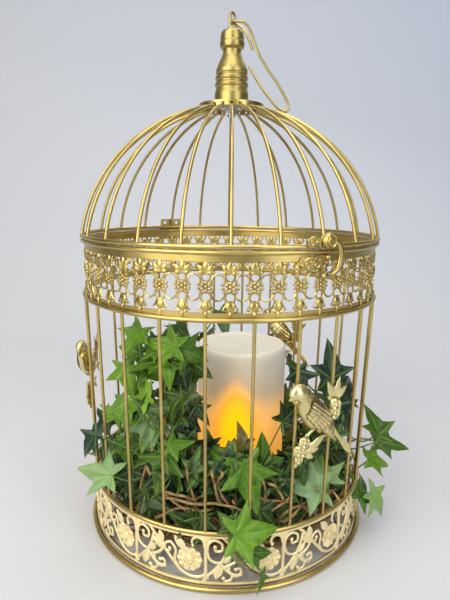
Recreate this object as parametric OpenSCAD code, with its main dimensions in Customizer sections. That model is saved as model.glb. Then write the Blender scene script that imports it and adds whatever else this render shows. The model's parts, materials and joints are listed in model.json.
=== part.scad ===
// Birdcage card holder: a round wire cage with a hinged domed lid, a turned finial with a hanging
// hook, two pierced metal bands, three bird ornaments, a battery candle and a leafy garland.
// Origin: centre of the base at table level, +Z up, latch towards -Y, hinge towards +Y.

/* [Cage] */
// Outer radius of the lid ring
cage_r = 122; // [100:1:150]
// Outer radius of the base ring
base_r = 121; // [99:1:149]
// Outer radius of the ring on top of the lower band
foot_ring_r = 118; // [97:1:146]
// Height of the rim where the lid closes
rim_h = 241.5; // [190:0.5:300]
// Height of the upper band, between its two rings
upper_band_h = 42.9; // [30:0.1:60]
// Height of the ring on top of the lower band
lower_band_h = 45; // [30:1:60]
// Diameter of the ring wire
ring_d = 3.2; // [2.4:0.1:4]
// Diameter of the upright bars
bar_d = 2.4; // [1.8:0.1:3]
// Number of upright bars and of dome wires
bar_count = 24; // [24:24]
// Sheet thickness of the bands
band_t = 1; // [0.8:0.1:1.5]
// Sheet thickness of the floor
floor_t = 0.8; // [0.6:0.1:1.5]

/* [Dome] */
// Bend radius of the dome wires
dome_bend_r = 120; // [115:1:150]
// Height of the crown plate above the lid ring
dome_h = 100.2; // [85:0.1:120]
// Radius of the circle of wire holes in the crown plate
crown_hole_circle_r = 20.5; // [18:0.5:25]
// Outer radius of the crown plate
crown_r = 26; // [24:0.5:32]
// Thickness of the crown plate
crown_t = 1.5; // [1:0.1:3]

/* [Finial] */
// Radius of the finial's base
finial_r = 13.6; // [11:0.1:15]
// Height of the finial
finial_h = 55.6; // [45:0.1:70]
// Diameter of the stud through the finial
stud_d = 6; // [4:0.5:8]
// Height of the eye above the finial
eye_h = 14; // [10:0.5:18]
// Wire diameter of the eye and the hook
hook_wire_d = 2.1; // [1.6:0.1:2.4]

/* [Hinge and latch] */
// Width of the hinge leaves
hinge_w = 21.8; // [16:0.2:28]
// Diameter of the hinge pin
hinge_pin_d = 2; // [1.6:0.1:3]
// Height of the latch pivot above the lid ring
latch_rise = 3.6; // [3:0.1:6]

/* [Candle] */
// Diameter of the candle
candle_d = 76; // [60:1:90]
// Height of the candle
candle_h = 150; // [100:1:160]
// Sideways place of the candle
candle_x = 7; // [-10:1:10]
// Front to back place of the candle
candle_y = -11; // [-12:1:12]

/* [Hidden] */

gold = "#C9A94E";
pale_gold = "#E6D3A0";
fine = 96;
small = 32;
lid_gap = 0.3;
weld = 0.5;
touch = 0.05;
sheet_gap = 0.2;
bar_step = 360 / bar_count;
bar_first = bar_step / 2;

// rings
flange_t = 1.6;
bead_d = 3.8;
flange_in_r = base_r - 6.5;
floor_top = flange_t + floor_t;
floor_r = base_r - 4;
inner_ring_d = 3;
rim_c_r = cage_r - 0.2 - ring_d / 2;
lid_c_r = cage_r - ring_d / 2;
foot_c_r = foot_ring_r - ring_d / 2;
lid_z = rim_h + ring_d + lid_gap;
belt_z = rim_h - upper_band_h;
belt_strip_h = 4.4;
belt_strip_t = 1.2;

// bands
lower_band_out = foot_ring_r - 0.6;
lower_band_bottom = floor_top + inner_ring_d + touch + sheet_gap;
upper_band_out = cage_r - 3.1;
upper_band_bottom = belt_z + belt_strip_h + sheet_gap;
upper_band_top = rim_h - 1.3;
motif_count = 2 * bar_count;

// dome wire: an arc of dome_bend_r through the lid ring and the crown hole
arc_a = [lid_c_r, lid_z];
arc_b = [crown_hole_circle_r, lid_z + dome_h];
arc_mid = (arc_a + arc_b) / 2;
arc_half = norm(arc_b - arc_a) / 2;
arc_dir = (arc_b - arc_a) / (2 * arc_half);
arc_off = sqrt(dome_bend_r * dome_bend_r - arc_half * arc_half);
arc_c = arc_mid + arc_off * [-arc_dir[1], arc_dir[0]];
arc_from = atan2(arc_a[1] - arc_c[1], arc_a[0] - arc_c[0]);
arc_to = atan2(arc_b[1] - arc_c[1], arc_b[0] - arc_c[0]);

// crown and finial
crown_hole_gap = 0.25;
crown_skirt_h = 2.4;
crown_skirt_t = 1.1;
crown_z = arc_b[1] + bar_d / 2 + 0.3;
crown_top = crown_z + crown_t;
wire_tip_h = 2;
finial_z = crown_top;
stud_len = 16;
stud_gap = 0.1;
washer_r = 8;
washer_t = 1.2;
nut_af = 10;
nut_h = 5;
cap_r = 9.65;
finial_top = finial_z + finial_h;

// eye and hook; the hook hangs towards hook_az and its loop holds the eye's far leg
eye_half = 3.3;
eye_turn = 35;
eye_shank_r = 2.6;
eye_shank_len = 6;
eye_collar_r = 4.6;
eye_collar_h = 1.2;
eye_top_c = finial_top + eye_h - hook_wire_d / 2;
hook_az = 60;
hook_r = hook_wire_d / 2;
hook_pin_r = eye_half * sin(eye_turn);
hook_pin_depth = eye_half * cos(eye_turn);
hook_pin_z = finial_top + 6.4;
hook_loop_r = 2.9;

// hinge
hinge_z = (rim_h + lid_z) / 2;
knuckle_r = hinge_pin_d / 2 + 1.4;
leaf_t = 1;
leaf_y = cage_r + 0.3;
hinge_y = leaf_y + knuckle_r;
leaf_upper_h = 7;
leaf_lower_h = 8;
pin_gap = 0.06;
rivet_r = 1.1;
rivet_x = 6.4;

// latch
plate_t = 1.2;
latch_in_r = cage_r + 0.3;
latch_z = lid_z + latch_rise;
latch_arm_r = 1.7;
latch_pin_r = 1.4;
latch_head_y = latch_in_r + plate_t + 0.3 + 2 * latch_arm_r + 0.3;
catch_z = rim_h - 3.7;
ball_r = 2.1;
ball_x = 2.7;
ball_out = latch_in_r + plate_t + 0.3 - 0.3 - ball_r;

// candle
wax_t = 4;
candle_z = floor_top + 0.4;
candle_r = candle_d / 2;
candle_top = candle_z + candle_h;
dish_depth = 9;
housing_h = 60;
housing_r = candle_r - wax_t - 0.3;
cover_r = 22;
cover_t = 2;
cell_r = 7;
cell_h = 44;
led_h = 4;

// birds and garland
bird_r = (foot_c_r + rim_c_r) / 2;
perch_z = 122;
vine_r = 2.6;

function cyl(az, r, z) = [r * sin(az), -r * cos(az), z];
function cand(x, y, z) = [candle_x + x, candle_y + y, z];

// smooth tube through a list of points, with flat ends
function unit(v) = v / norm(v);
function tangent(p, i) = unit(p[min(i + 1, len(p) - 1)] - p[max(i - 1, 0)]);
function side(t) = unit(cross(t, abs(t[2]) < 0.9 ? [0, 0, 1] : [1, 0, 0]));
function carry(p, i) = i == 0 ? side(tangent(p, 0)) :
    let (s = carry(p, i - 1), t = tangent(p, i)) unit(s - (s * t) * t);
function tube_points(p, r, n) = [for (i = [0 : len(p) - 1])
    let (t = tangent(p, i), s = carry(p, i), u = cross(t, s))
    for (k = [0 : n - 1]) p[i] + r * (cos(360 * k / n) * s + sin(360 * k / n) * u)];
function tube_faces(m, n) = concat(
    [[for (k = [0 : n - 1]) k]],
    [[for (k = [0 : n - 1]) (m - 1) * n + n - 1 - k]],
    [for (i = [0 : m - 2]) for (k = [0 : n - 1])
        [i * n + (k + 1) % n, i * n + k, (i + 1) * n + k]],
    [for (i = [0 : m - 2]) for (k = [0 : n - 1])
        [i * n + (k + 1) % n, (i + 1) * n + k, (i + 1) * n + (k + 1) % n]]);
module tube(p, r, n = 8) {
    polyhedron(tube_points(p, r, n), tube_faces(len(p), n), convexity = 8);
}

// straight rod between two points
module rod(a, b, r) {
    d = b - a;
    translate(a)
        rotate([0, acos(d[2] / norm(d)), atan2(d[1], d[0])])
            cylinder(r = r, h = norm(d), $fn = small);
}

module torus(c, r, z) {
    translate([0, 0, z])
        rotate_extrude($fn = fine)
            translate([c, 0])
                circle(r = r, $fn = small);
}

// places children on the cage wall: local -Y points outwards, +X along the wall, +Z up
module at(az, r = 0, z = 0) {
    rotate([0, 0, az])
        translate([0, -r, z])
            children();
}

module base_ring() {
    color(gold)
        rotate_extrude($fn = fine) {
            translate([flange_in_r, 0])
                square([base_r - bead_d / 2 - flange_in_r, flange_t]);
            translate([base_r - bead_d / 2, bead_d / 2])
                circle(d = bead_d, $fn = small);
        }
}

module base_inner_ring() {
    color(gold)
        torus(floor_r - inner_ring_d / 2 - 0.2, inner_ring_d / 2, floor_top + inner_ring_d / 2 + touch);
}

module floor_plate() {
    color("#B8B8BC")
        translate([0, 0, flange_t])
            cylinder(r = floor_r, h = floor_t, $fn = fine);
}

module hoop(out_r, t, z0, z1) {
    translate([0, 0, z0])
        rotate_extrude($fn = fine)
            translate([out_r - t, 0])
                square([t, z1 - z0]);
}

// outline cut radially through a hoop, given in wall coordinates (along, up)
module cut_out(r) {
    translate([0, -r - 2, 0])
        rotate([90, 0, 180])
            mirror([1, 0, 0])
                linear_extrude(6)
                    children();
}

scroll_h = lower_band_h - lower_band_bottom - 2;

module scroll_gap() {
    h = scroll_h;
    polygon([[-6, -0.30 * h], [-2, -0.40 * h], [3, -0.38 * h], [6.5, -0.20 * h], [7, 0.05 * h],
        [4, 0.30 * h], [0, 0.42 * h], [-4, 0.38 * h], [-5.5, 0.10 * h]]);
}

module lower_band() {
    color(pale_gold)
        difference() {
            hoop(lower_band_out, band_t, lower_band_bottom, lower_band_h - ring_d / 2 - touch);
            for (k = [0 : bar_count - 1])
                at((k + 0.25) * bar_step, 0, (lower_band_bottom + lower_band_h) / 2)
                    cut_out(lower_band_out)
                        mirror([k % 2, 0, 0])
                            scroll_gap();
        }
}

module foot_ring() {
    color(gold)
        torus(foot_c_r, ring_d / 2, lower_band_h);
}

module side_bars() {
    color(gold)
        for (k = [0 : bar_count - 1])
            at(bar_first + k * bar_step)
                rod([0, -foot_c_r, lower_band_h + ring_d / 2 - weld],
                    [0, -rim_c_r, belt_z - ring_d / 2 + weld], bar_d / 2);
}

module upper_band_ring() {
    color(gold)
        rotate_extrude($fn = fine) {
            translate([rim_c_r, belt_z])
                circle(d = ring_d, $fn = small);
            translate([upper_band_out - belt_strip_t, belt_z])
                square([belt_strip_t, belt_strip_h]);
        }
}

// peanut-shaped opening between two motifs
module peanut(h) {
    polygon([[0, -h], [3.2, -0.82 * h], [4, -0.5 * h], [2.2, 0], [4, 0.5 * h], [3.2, 0.82 * h],
        [0, h], [-3.2, 0.82 * h], [-4, 0.5 * h], [-2.2, 0], [-4, -0.5 * h], [-3.2, -0.82 * h]]);
}

module upper_band() {
    strip = 5;
    middle = (upper_band_bottom + upper_band_top - strip) / 2;
    open_h = (upper_band_top - upper_band_bottom - strip) / 2;
    color(gold)
        difference() {
            hoop(upper_band_out, band_t, upper_band_bottom, upper_band_top);
            for (k = [0 : motif_count - 1])
                at((k + 0.5) * 360 / motif_count, 0, middle)
                    cut_out(upper_band_out)
                        peanut(0.72 * open_h);
        }
}

module rim_ring() {
    color(gold)
        torus(rim_c_r, ring_d / 2, rim_h);
}

module lid_ring() {
    color(gold)
        torus(lid_c_r, ring_d / 2, lid_z);
}

module dome_wire() {
    translate([0, 0, arc_c[1]])
        rotate([90, 0, -90])
            rotate_extrude(angle = arc_to - arc_from, start = arc_from, $fn = 4 * fine)
                translate([dome_bend_r, 0])
                    circle(d = bar_d, $fn = small);
}

module dome_wires() {
    color(gold)
        for (k = [0 : bar_count - 1])
            at(k * bar_step) {
                translate([0, -arc_c[0], 0])
                    dome_wire();
                translate([0, -arc_b[0], arc_b[1]])
                    sphere(d = bar_d, $fn = small);
                translate([0, -arc_b[0], arc_b[1]])
                    cylinder(d = bar_d, h = wire_tip_h, $fn = small);
            }
}

module crown_plate() {
    color(gold)
        translate([0, 0, crown_z])
            difference() {
                translate([0, 0, -crown_skirt_h])
                    cylinder(r = crown_r, h = crown_t + crown_skirt_h, $fn = fine);
                translate([0, 0, -crown_skirt_h - 1])
                    cylinder(r = crown_r - crown_skirt_t, h = crown_skirt_h + 1, $fn = fine);
                for (k = [0 : bar_count - 1]) {
                    at(k * bar_step, crown_hole_circle_r, -1)
                        cylinder(r = bar_d / 2 + crown_hole_gap, h = crown_t + 2, $fn = small);
                    at(k * bar_step, crown_r, -crown_skirt_h / 2 - 0.5)
                        cube([bar_d + 2 * crown_hole_gap, 3 * crown_skirt_t, crown_skirt_h + 1], center = true);
                }
                translate([0, 0, -1])
                    cylinder(r = stud_d / 2 + stud_gap, h = crown_t + 2, $fn = small);
            }
}

// turned profile, as [radius, height above the finial's base]
function finial_profile() = let (r = finial_r, h = finial_h) [[0, 0], [r, 0], [r, 0.150 * h],
    [0.96 * r, 0.180 * h], [0.92 * r, 0.212 * h], [0.92 * r, 0.228 * h], [0.97 * r, 0.250 * h],
    [0.985 * r, 0.272 * h], [0.96 * r, 0.292 * h], [0.90 * r, 0.308 * h], [0.90 * r, 0.322 * h],
    [0.95 * r, 0.340 * h], [0.965 * r, 0.360 * h], [0.94 * r, 0.382 * h], [0.89 * r, 0.398 * h],
    [0.90 * r, 0.412 * h], [0.94 * r, 0.430 * h], [0.92 * r, 0.470 * h], [0.86 * r, 0.510 * h],
    [0.77 * r, 0.560 * h], [0.65 * r, 0.620 * h], [0.56 * r, 0.670 * h], [0.525 * r, 0.710 * h],
    [0.54 * r, 0.740 * h], [0.62 * r, 0.755 * h], [0.69 * r, 0.770 * h], [0.71 * r, 0.800 * h],
    [0.71 * r, 0.840 * h], [0.68 * r, 0.860 * h], [0.68 * r, 0.900 * h], [0.645 * r, 0.960 * h],
    [0.58 * r, 0.985 * h], [0.46 * r, h], [0, h]];

module finial() {
    color("#BFA04A")
        translate([0, 0, finial_z])
            difference() {
                rotate_extrude($fn = fine)
                    polygon(finial_profile());
                translate([0, 0, -1])
                    cylinder(r = stud_d / 2 + stud_gap, h = stud_len + 1.5, $fn = small);
                translate([0, 0, finial_h - eye_shank_len - 0.3])
                    cylinder(r = eye_shank_r + touch, h = eye_shank_len + 1, $fn = small);
            }
}

module finial_stud() {
    color("silver")
        translate([0, 0, crown_z - washer_t - nut_h - 1.5])
            cylinder(d = stud_d, h = finial_z + stud_len - crown_z + washer_t + nut_h + 1.5, $fn = small);
}

module finial_washer() {
    color("silver")
        translate([0, 0, crown_z - washer_t])
            difference() {
                cylinder(r = washer_r, h = washer_t, $fn = small);
                translate([0, 0, -1])
                    cylinder(r = stud_d / 2 + stud_gap, h = washer_t + 2, $fn = small);
            }
}

module finial_nut() {
    color("silver")
        translate([0, 0, crown_z - washer_t - nut_h])
            difference() {
                cylinder(r = nut_af / sqrt(3), h = nut_h, $fn = 6);
                translate([0, 0, -1])
                    cylinder(r = stud_d / 2 + touch, h = nut_h + 2, $fn = small);
            }
}

module hanging_eye() {
    leg_top = eye_top_c - eye_half;
    color("#BFA04A") {
        translate([0, 0, finial_top - eye_shank_len])
            cylinder(r = eye_shank_r, h = eye_shank_len, $fn = small);
        translate([0, 0, finial_top])
            cylinder(r = eye_collar_r, h = eye_collar_h, $fn = small);
        rotate([0, 0, hook_az - 90 - eye_turn]) {
            for (s = [-1, 1])
                translate([0, s * eye_half, finial_top + eye_collar_h - weld])
                    cylinder(r = hook_r, h = leg_top - finial_top - eye_collar_h + weld, $fn = small);
            translate([0, 0, leg_top])
                rotate([90, 0, 90])
                    rotate_extrude(angle = 180, $fn = fine)
                        translate([eye_half, 0])
                            circle(r = hook_r, $fn = small);
        }
    }
}

// hook wire in its own plane: [out from the axis, height above the loop's centre, depth]
hook_path = concat(
    [[16.4, -19.4, 2.8], [14.1, -13.4, 3.5], [11.2, -7.2, 4.4], [7.8, -3, 5.2], [4, -0.7, 5.7]],
    [for (a = [80 : -20 : -80]) [hook_pin_r - hook_loop_r * cos(a), 0, hook_pin_depth + hook_loop_r * sin(a)]],
    [[4.5, 0.2, -0.4], [8.8, -0.6, -1.2], [12, -3.2, -0.9], [14.8, -7.6, -0.4], [16.6, -12, 0], [18.7, -18, 0],
        [22.2, -25.3, 0], [29.1, -35.4, 0], [36.4, -44.8, 0], [41.6, -52.8, 0], [44.6, -58.2, 0],
        [46, -61.9, 0], [46, -64.6, 0], [44.4, -66.3, 0], [41.6, -66.2, 0], [38, -64.2, 0],
        [34.5, -61, 0], [31.3, -57.2, 0], [24.6, -49.2, 0], [18.9, -40.7, 0], [13.8, -32.6, 0]]);

module hanging_hook() {
    color("#BFA04A")
        rotate([0, 0, hook_az - 90])
            translate([0, 0, hook_pin_z])
                tube([for (p = hook_path) [p[0], p[2], p[1]]], hook_r, 10);
}

knuckle_w = hinge_w / 3;
module knuckle(x0, x1) {
    translate([x0, hinge_y, hinge_z])
        rotate([0, 90, 0])
            cylinder(r = knuckle_r, h = x1 - x0, $fn = small);
}

module pin_bore() {
    translate([-hinge_w, hinge_y, hinge_z])
        rotate([0, 90, 0])
            cylinder(r = hinge_pin_d / 2 + pin_gap, h = 2 * hinge_w, $fn = small);
}

module hinge_lower_leaf() {
    top = hinge_z - knuckle_r;
    color(gold)
        difference() {
            union() {
                translate([-hinge_w / 2, leaf_y, top - leaf_lower_h])
                    cube([hinge_w, leaf_t, leaf_lower_h - 0.4]);
                for (s = [0, 1])
                    mirror([s, 0, 0]) {
                        translate([knuckle_w / 2 + 0.1, leaf_y, top - leaf_lower_h])
                            cube([knuckle_w - 0.1, leaf_t, leaf_lower_h + knuckle_r]);
                        knuckle(knuckle_w / 2 + 0.1, hinge_w / 2);
                    }
            }
            pin_bore();
            for (s = [-1, 1])
                translate([s * rivet_x, leaf_y - 1, top - leaf_lower_h / 2])
                    rotate([-90, 0, 0])
                        cylinder(r = rivet_r + touch, h = leaf_t + 2, $fn = small);
        }
}

module hinge_upper_leaf() {
    bottom = hinge_z + knuckle_r + 0.4;
    color(gold)
        difference() {
            union() {
                translate([-hinge_w / 2, leaf_y, bottom])
                    cube([hinge_w, leaf_t, leaf_upper_h]);
                translate([-knuckle_w / 2 + 0.1, leaf_y, hinge_z])
                    cube([knuckle_w - 0.2, leaf_t, bottom + leaf_upper_h - hinge_z]);
                knuckle(-knuckle_w / 2 + 0.1, knuckle_w / 2 - 0.1);
            }
            pin_bore();
            for (s = [-1, 1])
                translate([s * rivet_x, leaf_y - 1, bottom + leaf_upper_h / 2])
                    rotate([-90, 0, 0])
                        cylinder(r = 1.7, h = leaf_t + 2, $fn = small);
        }
}

module hinge_pin() {
    color(gold)
        translate([-hinge_w / 2 - 0.6, hinge_y, hinge_z])
            rotate([0, 90, 0])
                cylinder(d = hinge_pin_d, h = hinge_w + 1.2, $fn = small);
}

// rivets from the lower leaf into the plain strip of the upper band
module hinge_rivets() {
    head_t = 0.7;
    reach = sqrt(pow(upper_band_out, 2) - pow(rivet_x - rivet_r, 2)) + sheet_gap;
    color(gold)
        for (s = [-1, 1])
            translate([s * rivet_x, reach, hinge_z - knuckle_r - leaf_lower_h / 2])
                rotate([-90, 0, 0]) {
                    cylinder(r = rivet_r, h = leaf_y + leaf_t + head_t / 2 - reach, $fn = small);
                    translate([0, 0, leaf_y + leaf_t + touch - reach])
                        cylinder(r = 1.8 * rivet_r, h = head_t, $fn = small);
                }
}

// scroll-edged plate bent to the cage wall, drawn as seen from outside
module wall_plate(in_r, t) {
    intersection() {
        hoop(in_r + t, t, lid_z - 25, lid_z + 15);
        translate([0, -in_r + 8, 0])
            rotate([90, 0, 0])
                linear_extrude(20)
                    children();
    }
}

module latch_plate() {
    color(gold)
        difference() {
            wall_plate(latch_in_r, plate_t)
                translate([0, latch_z])
                    polygon([[5.2, -4.4], [6, 0], [4, 3.6], [0, 5], [-4, 3.8], [-6.5, 1.8], [-9, 3.4],
                        [-12.5, 3.2], [-15.4, 1], [-15.8, -2], [-14, -4], [-10, -3], [-6, -4.6]]);
            translate([0, -latch_in_r + 3, latch_z])
                rotate([90, 0, 0])
                    cylinder(r = latch_pin_r + touch, h = 8, $fn = small);
        }
}

module latch_rivet() {
    color(gold)
        translate([0, -latch_in_r + 0.6, latch_z])
            rotate([90, 0, 0]) {
                cylinder(r = latch_pin_r, h = latch_head_y - latch_in_r + 0.6, $fn = small);
                translate([0, 0, latch_head_y - latch_in_r + 0.6 - touch])
                    cylinder(r = 2.4, h = 0.9, $fn = small);
            }
}

// J-shaped hook: boss on the pivot, a curved arm and a ball end, as [along, below the pivot]
latch_path = [[0, 0], [4, -0.2], [7.5, -2], [9.7, -6], [10, -11], [9, -15.6], [6.9, -19.2],
    [3.6, -21.8], [-0.2, -22.9], [-3.6, -22.4]];

// the sides of a flat strip of half width w along a flat path
function strip_side(path, w) = [for (i = [0 : len(path) - 1])
    let (along = path[min(i + 1, len(path) - 1)] - path[max(i - 1, 0)])
    path[i] + w / norm(along) * [-along[1], along[0]]];

module latch_hook() {
    end = latch_path[len(latch_path) - 1];
    arm = concat([for (i = [0 : len(latch_path) - 2]) for (t = [0, 0.5]) smooth_at(latch_path, i, t)], [end]);
    left = strip_side(arm, latch_arm_r);
    right = strip_side(arm, -latch_arm_r);
    color(gold)
        translate([0, -latch_in_r - plate_t - 0.3, latch_z])
            rotate([90, 0, 0])
                linear_extrude(2 * latch_arm_r)
                    difference() {
                        union() {
                            polygon(concat(left, [for (i = [1 : len(right)]) right[len(right) - i]]));
                            circle(r = 4, $fn = small);
                            translate(end)
                                circle(r = 1.3 * latch_arm_r, $fn = small);
                        }
                        circle(r = latch_pin_r + pin_gap, $fn = small);
                    }
}

// scroll plate with the ball that the latch hook closes over
module catch_plate() {
    color(gold) {
        wall_plate(upper_band_out + 0.3, plate_t)
            translate([0, catch_z])
                polygon([[5, 1.2], [5.4, -1], [3, -3.4], [-1, -3], [-4, -6], [-8, -8.2], [-12, -8.4],
                    [-16.6, -6.6], [-18.4, -3], [-17, 0.4], [-13, 1.2], [-9.6, -1], [-6, 1.2], [-1, 1.5]]);
        translate([ball_x, -upper_band_out - 0.3 - plate_t + 0.3, catch_z])
            rotate([90, 0, 0])
                cylinder(r = 1.2, h = ball_out - upper_band_out - plate_t, $fn = small);
        translate([ball_x, -ball_out, catch_z])
            sphere(r = ball_r, $fn = small);
    }
}

// perched songbird cast with a twig that is soldered to two neighbouring bars;
// wall coordinates [along, out from the bars, height above the perch]
module bird() {
    bar_x = bird_r * sin(bar_step / 2);
    color(pale_gold) {
        hull() {
            translate([-15, -8, 28])
                sphere(r = 6, $fn = 20);
            translate([1, -8, 10])
                sphere(r = 8, $fn = 20);
        }
        hull() {
            translate([2, -8, 9])
                sphere(r = 7.5, $fn = 20);
            translate([15, -8, -5])
                sphere(r = 3.4, $fn = 20);
        }
        hull() {
            translate([15, -8, -5])
                sphere(r = 3, $fn = 16);
            translate([29, -8, -26])
                rotate([0, 30, 0])
                    cube([5, 2.4, 4], center = true);
        }
        rod([-19, -8, 28], [-24, -8, 25], 1.5);
        rod([1, -7, 3], [1, -2.2, -1], 1.4);
        rod([-bar_x, 0, -27], [-9, -1.6, -9], 1.7);
        rod([-9, -1.6, -9], [1, -2.2, -1], 1.7);
        rod([1, -2.2, -1], [10, -3.5, 1], 1.5);
        translate([-10, -4.4, -10])
            sphere(r = 4.2, $fn = small);
        rod([-7, -2, -14], [12, -2.5, -9], 1.5);
        translate([bar_x, -3.4, 5])
            sphere(r = 3.6, $fn = small);
        rod([bar_x, -1.4, -2], [bar_x, -1.4, 24], 1.5);
    }
}

module bird_at(az) {
    at(az)
        translate([0, -bird_r - bar_d / 2 - 0.6, perch_z])
            children();
}

module bird_front() {
    bird_at(0)
        bird();
}

module bird_right() {
    bird_at(120)
        mirror([1, 0, 0])
            bird();
}

module bird_left() {
    bird_at(-120)
        mirror([1, 0, 0])
            bird();
}

// wax wall with a dished top and a melted rim, open at the bottom
module candle_shell() {
    color("ivory")
        translate(cand(0, 0, candle_z))
            rotate_extrude($fn = fine)
                polygon([[candle_r - wax_t, 0], [candle_r, 0], [candle_r, candle_h - 2],
                    [candle_r - 1.2, candle_h - 0.4], [candle_r - 3, candle_h],
                    [candle_r - 6, candle_h - 1], [candle_r - 10, candle_h - 5],
                    [candle_r - 20, candle_h - dish_depth], [0, candle_h - dish_depth - 0.5],
                    [0, candle_h - dish_depth - wax_t], [candle_r - 20, candle_h - dish_depth - wax_t],
                    [candle_r - wax_t, candle_h - dish_depth - wax_t - 6]]);
}

module candle_housing() {
    color("#ECE7DA")
        translate(cand(0, 0, candle_z + 0.3))
            difference() {
                cylinder(r = housing_r, h = housing_h - 0.3, $fn = fine);
                translate([0, 0, -1])
                    cylinder(r = cover_r + 0.3, h = cover_t + 1.3, $fn = fine);
                for (s = [-1, 1])
                    translate([s * (cell_r + 1), 0, cover_t])
                        cylinder(r = cell_r + 0.4, h = cell_h + 5, $fn = small);
                translate([-switch_w / 2 - switch_travel, -housing_r + 6, -1])
                    cube([switch_w + 2 * switch_travel, switch_w, 4]);
            }
}

module candle_batteries() {
    color("#7A8288")
        for (s = [-1, 1])
            translate(cand(s * (cell_r + 1), 0, candle_z + cover_t + 1.6)) {
                cylinder(r = cell_r, h = cell_h, $fn = small);
                cylinder(r = 2.6, h = cell_h + 1, $fn = small);
            }
}

module candle_contacts() {
    color("silver")
        for (s = [-1, 1])
            translate(cand(s * (cell_r + 1), 0, candle_z + cover_t + cell_h + 2.8))
                cylinder(r = 4.5, h = 0.5, $fn = small);
}

module battery_cover() {
    color("#DDD8CA")
        translate(cand(0, 0, candle_z + 0.3))
            difference() {
                cylinder(r = cover_r, h = cover_t - 0.3, $fn = fine);
                translate([-8, -1, -1])
                    cube([16, 2, 1.8]);
            }
}

switch_w = 6;
switch_travel = 3;
module candle_switch() {
    color("#3A3A3C")
        translate(cand(-switch_w / 2 - switch_travel + 0.3, -housing_r + 6.3, candle_z + 0.4))
            cube([switch_w - 0.6, switch_w - 0.6, 2.4]);
}

module candle_led() {
    color("#F4D58A")
        translate(cand(0, 0, candle_z + housing_h + touch)) {
            cylinder(r = 6, h = 1.2, $fn = small);
            cylinder(r = 2.4, h = led_h, $fn = small);
        }
}

// moulded flame over the lamp
module candle_flame() {
    color("#FFC24A")
        translate(cand(0, 0, candle_z + housing_h + touch))
            rotate_extrude($fn = small)
                polygon([[6.4, 0], [8, 0], [9.5, 8], [9.2, 16], [7.4, 26], [4.6, 38], [1.8, 49], [0, 54],
                    [0, 52], [1.2, 48], [3.6, 38], [6.4, 26], [8, 16], [8.3, 8]]);
}

// woody ring that lies on the floor: [azimuth, radius, height above the floor]
vine_wave = 3;
function vine_at(a) = cyl(a, 84 + 5 * sin(3 * a), floor_top + vine_r + 0.3 + vine_wave * (1 + sin(5 * a)));
vine_loop = [for (a = [0 : 15 : 345]) vine_at(a)];
module vine_ring() {
    color("#8A6A3C")
        for (half = [0, 1])
            tube([for (i = [0 : 12]) vine_loop[(12 * half + i) % 24] ], vine_r, 8);
}

// climbing stems from the ring, one list of [azimuth, radius, height] a stem
stems = [
    [[-78, 90, 18], [-74, 98, 30], [-70, 104, 52], [-66, 104, 76], [-62, 100, 100], [-60, 96, 124],
        [-58, 96, 146], [-56, 98, 164]],
    [[-60, 88, 20], [-52, 92, 34], [-47, 94, 60], [-47, 88, 88], [-50, 82, 112], [-50, 78, 128]],
    [[-20, 84, 18], [-24, 90, 30], [-26, 92, 48], [-26, 88, 70]],
    [[-34, 90, 22], [-32, 98, 36], [-30, 106, 50], [-30, 114, 54], [-29.5, 121, 50], [-28, 124, 38],
        [-24, 124.5, 26], [-19, 125, 18]],
    [[8, 88, 20], [8, 94, 32], [6, 98, 52], [8, 98, 66]],
    [[18, 91, 22], [17, 98, 36], [15.5, 106, 52], [15, 114, 56], [15, 120, 52]],
    [[38, 88, 20], [40, 94, 36], [38, 98, 62], [32, 96, 90], [26, 96, 116]],
    [[66, 88, 20], [62, 96, 32], [60, 106, 50], [60, 116, 58], [60, 124, 60], [60, 134, 58]],
    [[104, 88, 20], [98, 96, 36], [94, 98, 62], [92, 98, 80]],
    [[160, 86, 20], [164, 84, 40], [168, 80, 72], [172, 74, 104], [174, 70, 132]],
    [[-152, 86, 20], [-146, 94, 36], [-146, 94, 66], [-148, 94, 96]],
    [[-112, 88, 20], [-108, 96, 30], [-105, 106, 44], [-105, 116, 56], [-105, 124, 60]],
    [[182, 88, 20], [181, 98, 36], [180, 108, 56], [180, 118, 66], [180, 123, 70]]];
stem_r = 1.2;
function smooth_at(p, i, t) =
    let (a = p[max(i - 1, 0)], b = p[i], c = p[i + 1], d = p[min(i + 2, len(p) - 1)])
    0.5 * (2 * b + t * (c - a) + t * t * (2 * a - 5 * b + 4 * c - d)
        + t * t * t * (3 * b - a - 3 * c + d));
function stem_line(s) = let (p = concat([vine_at(s[0][0])], [for (q = s) cyl(q[0], q[1], q[2])]))
    concat([for (i = [0 : len(p) - 2]) for (t = [0, 0.5]) smooth_at(p, i, t)], [p[len(p) - 1]]);
stem_lines = [for (s = stems) stem_line(s)];
stem_points = [for (s = stem_lines) for (p = s) p];

module vine_stems() {
    color("#7C5F38")
        for (s = stem_lines)
            tube(s, stem_r, 6);
}

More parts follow.
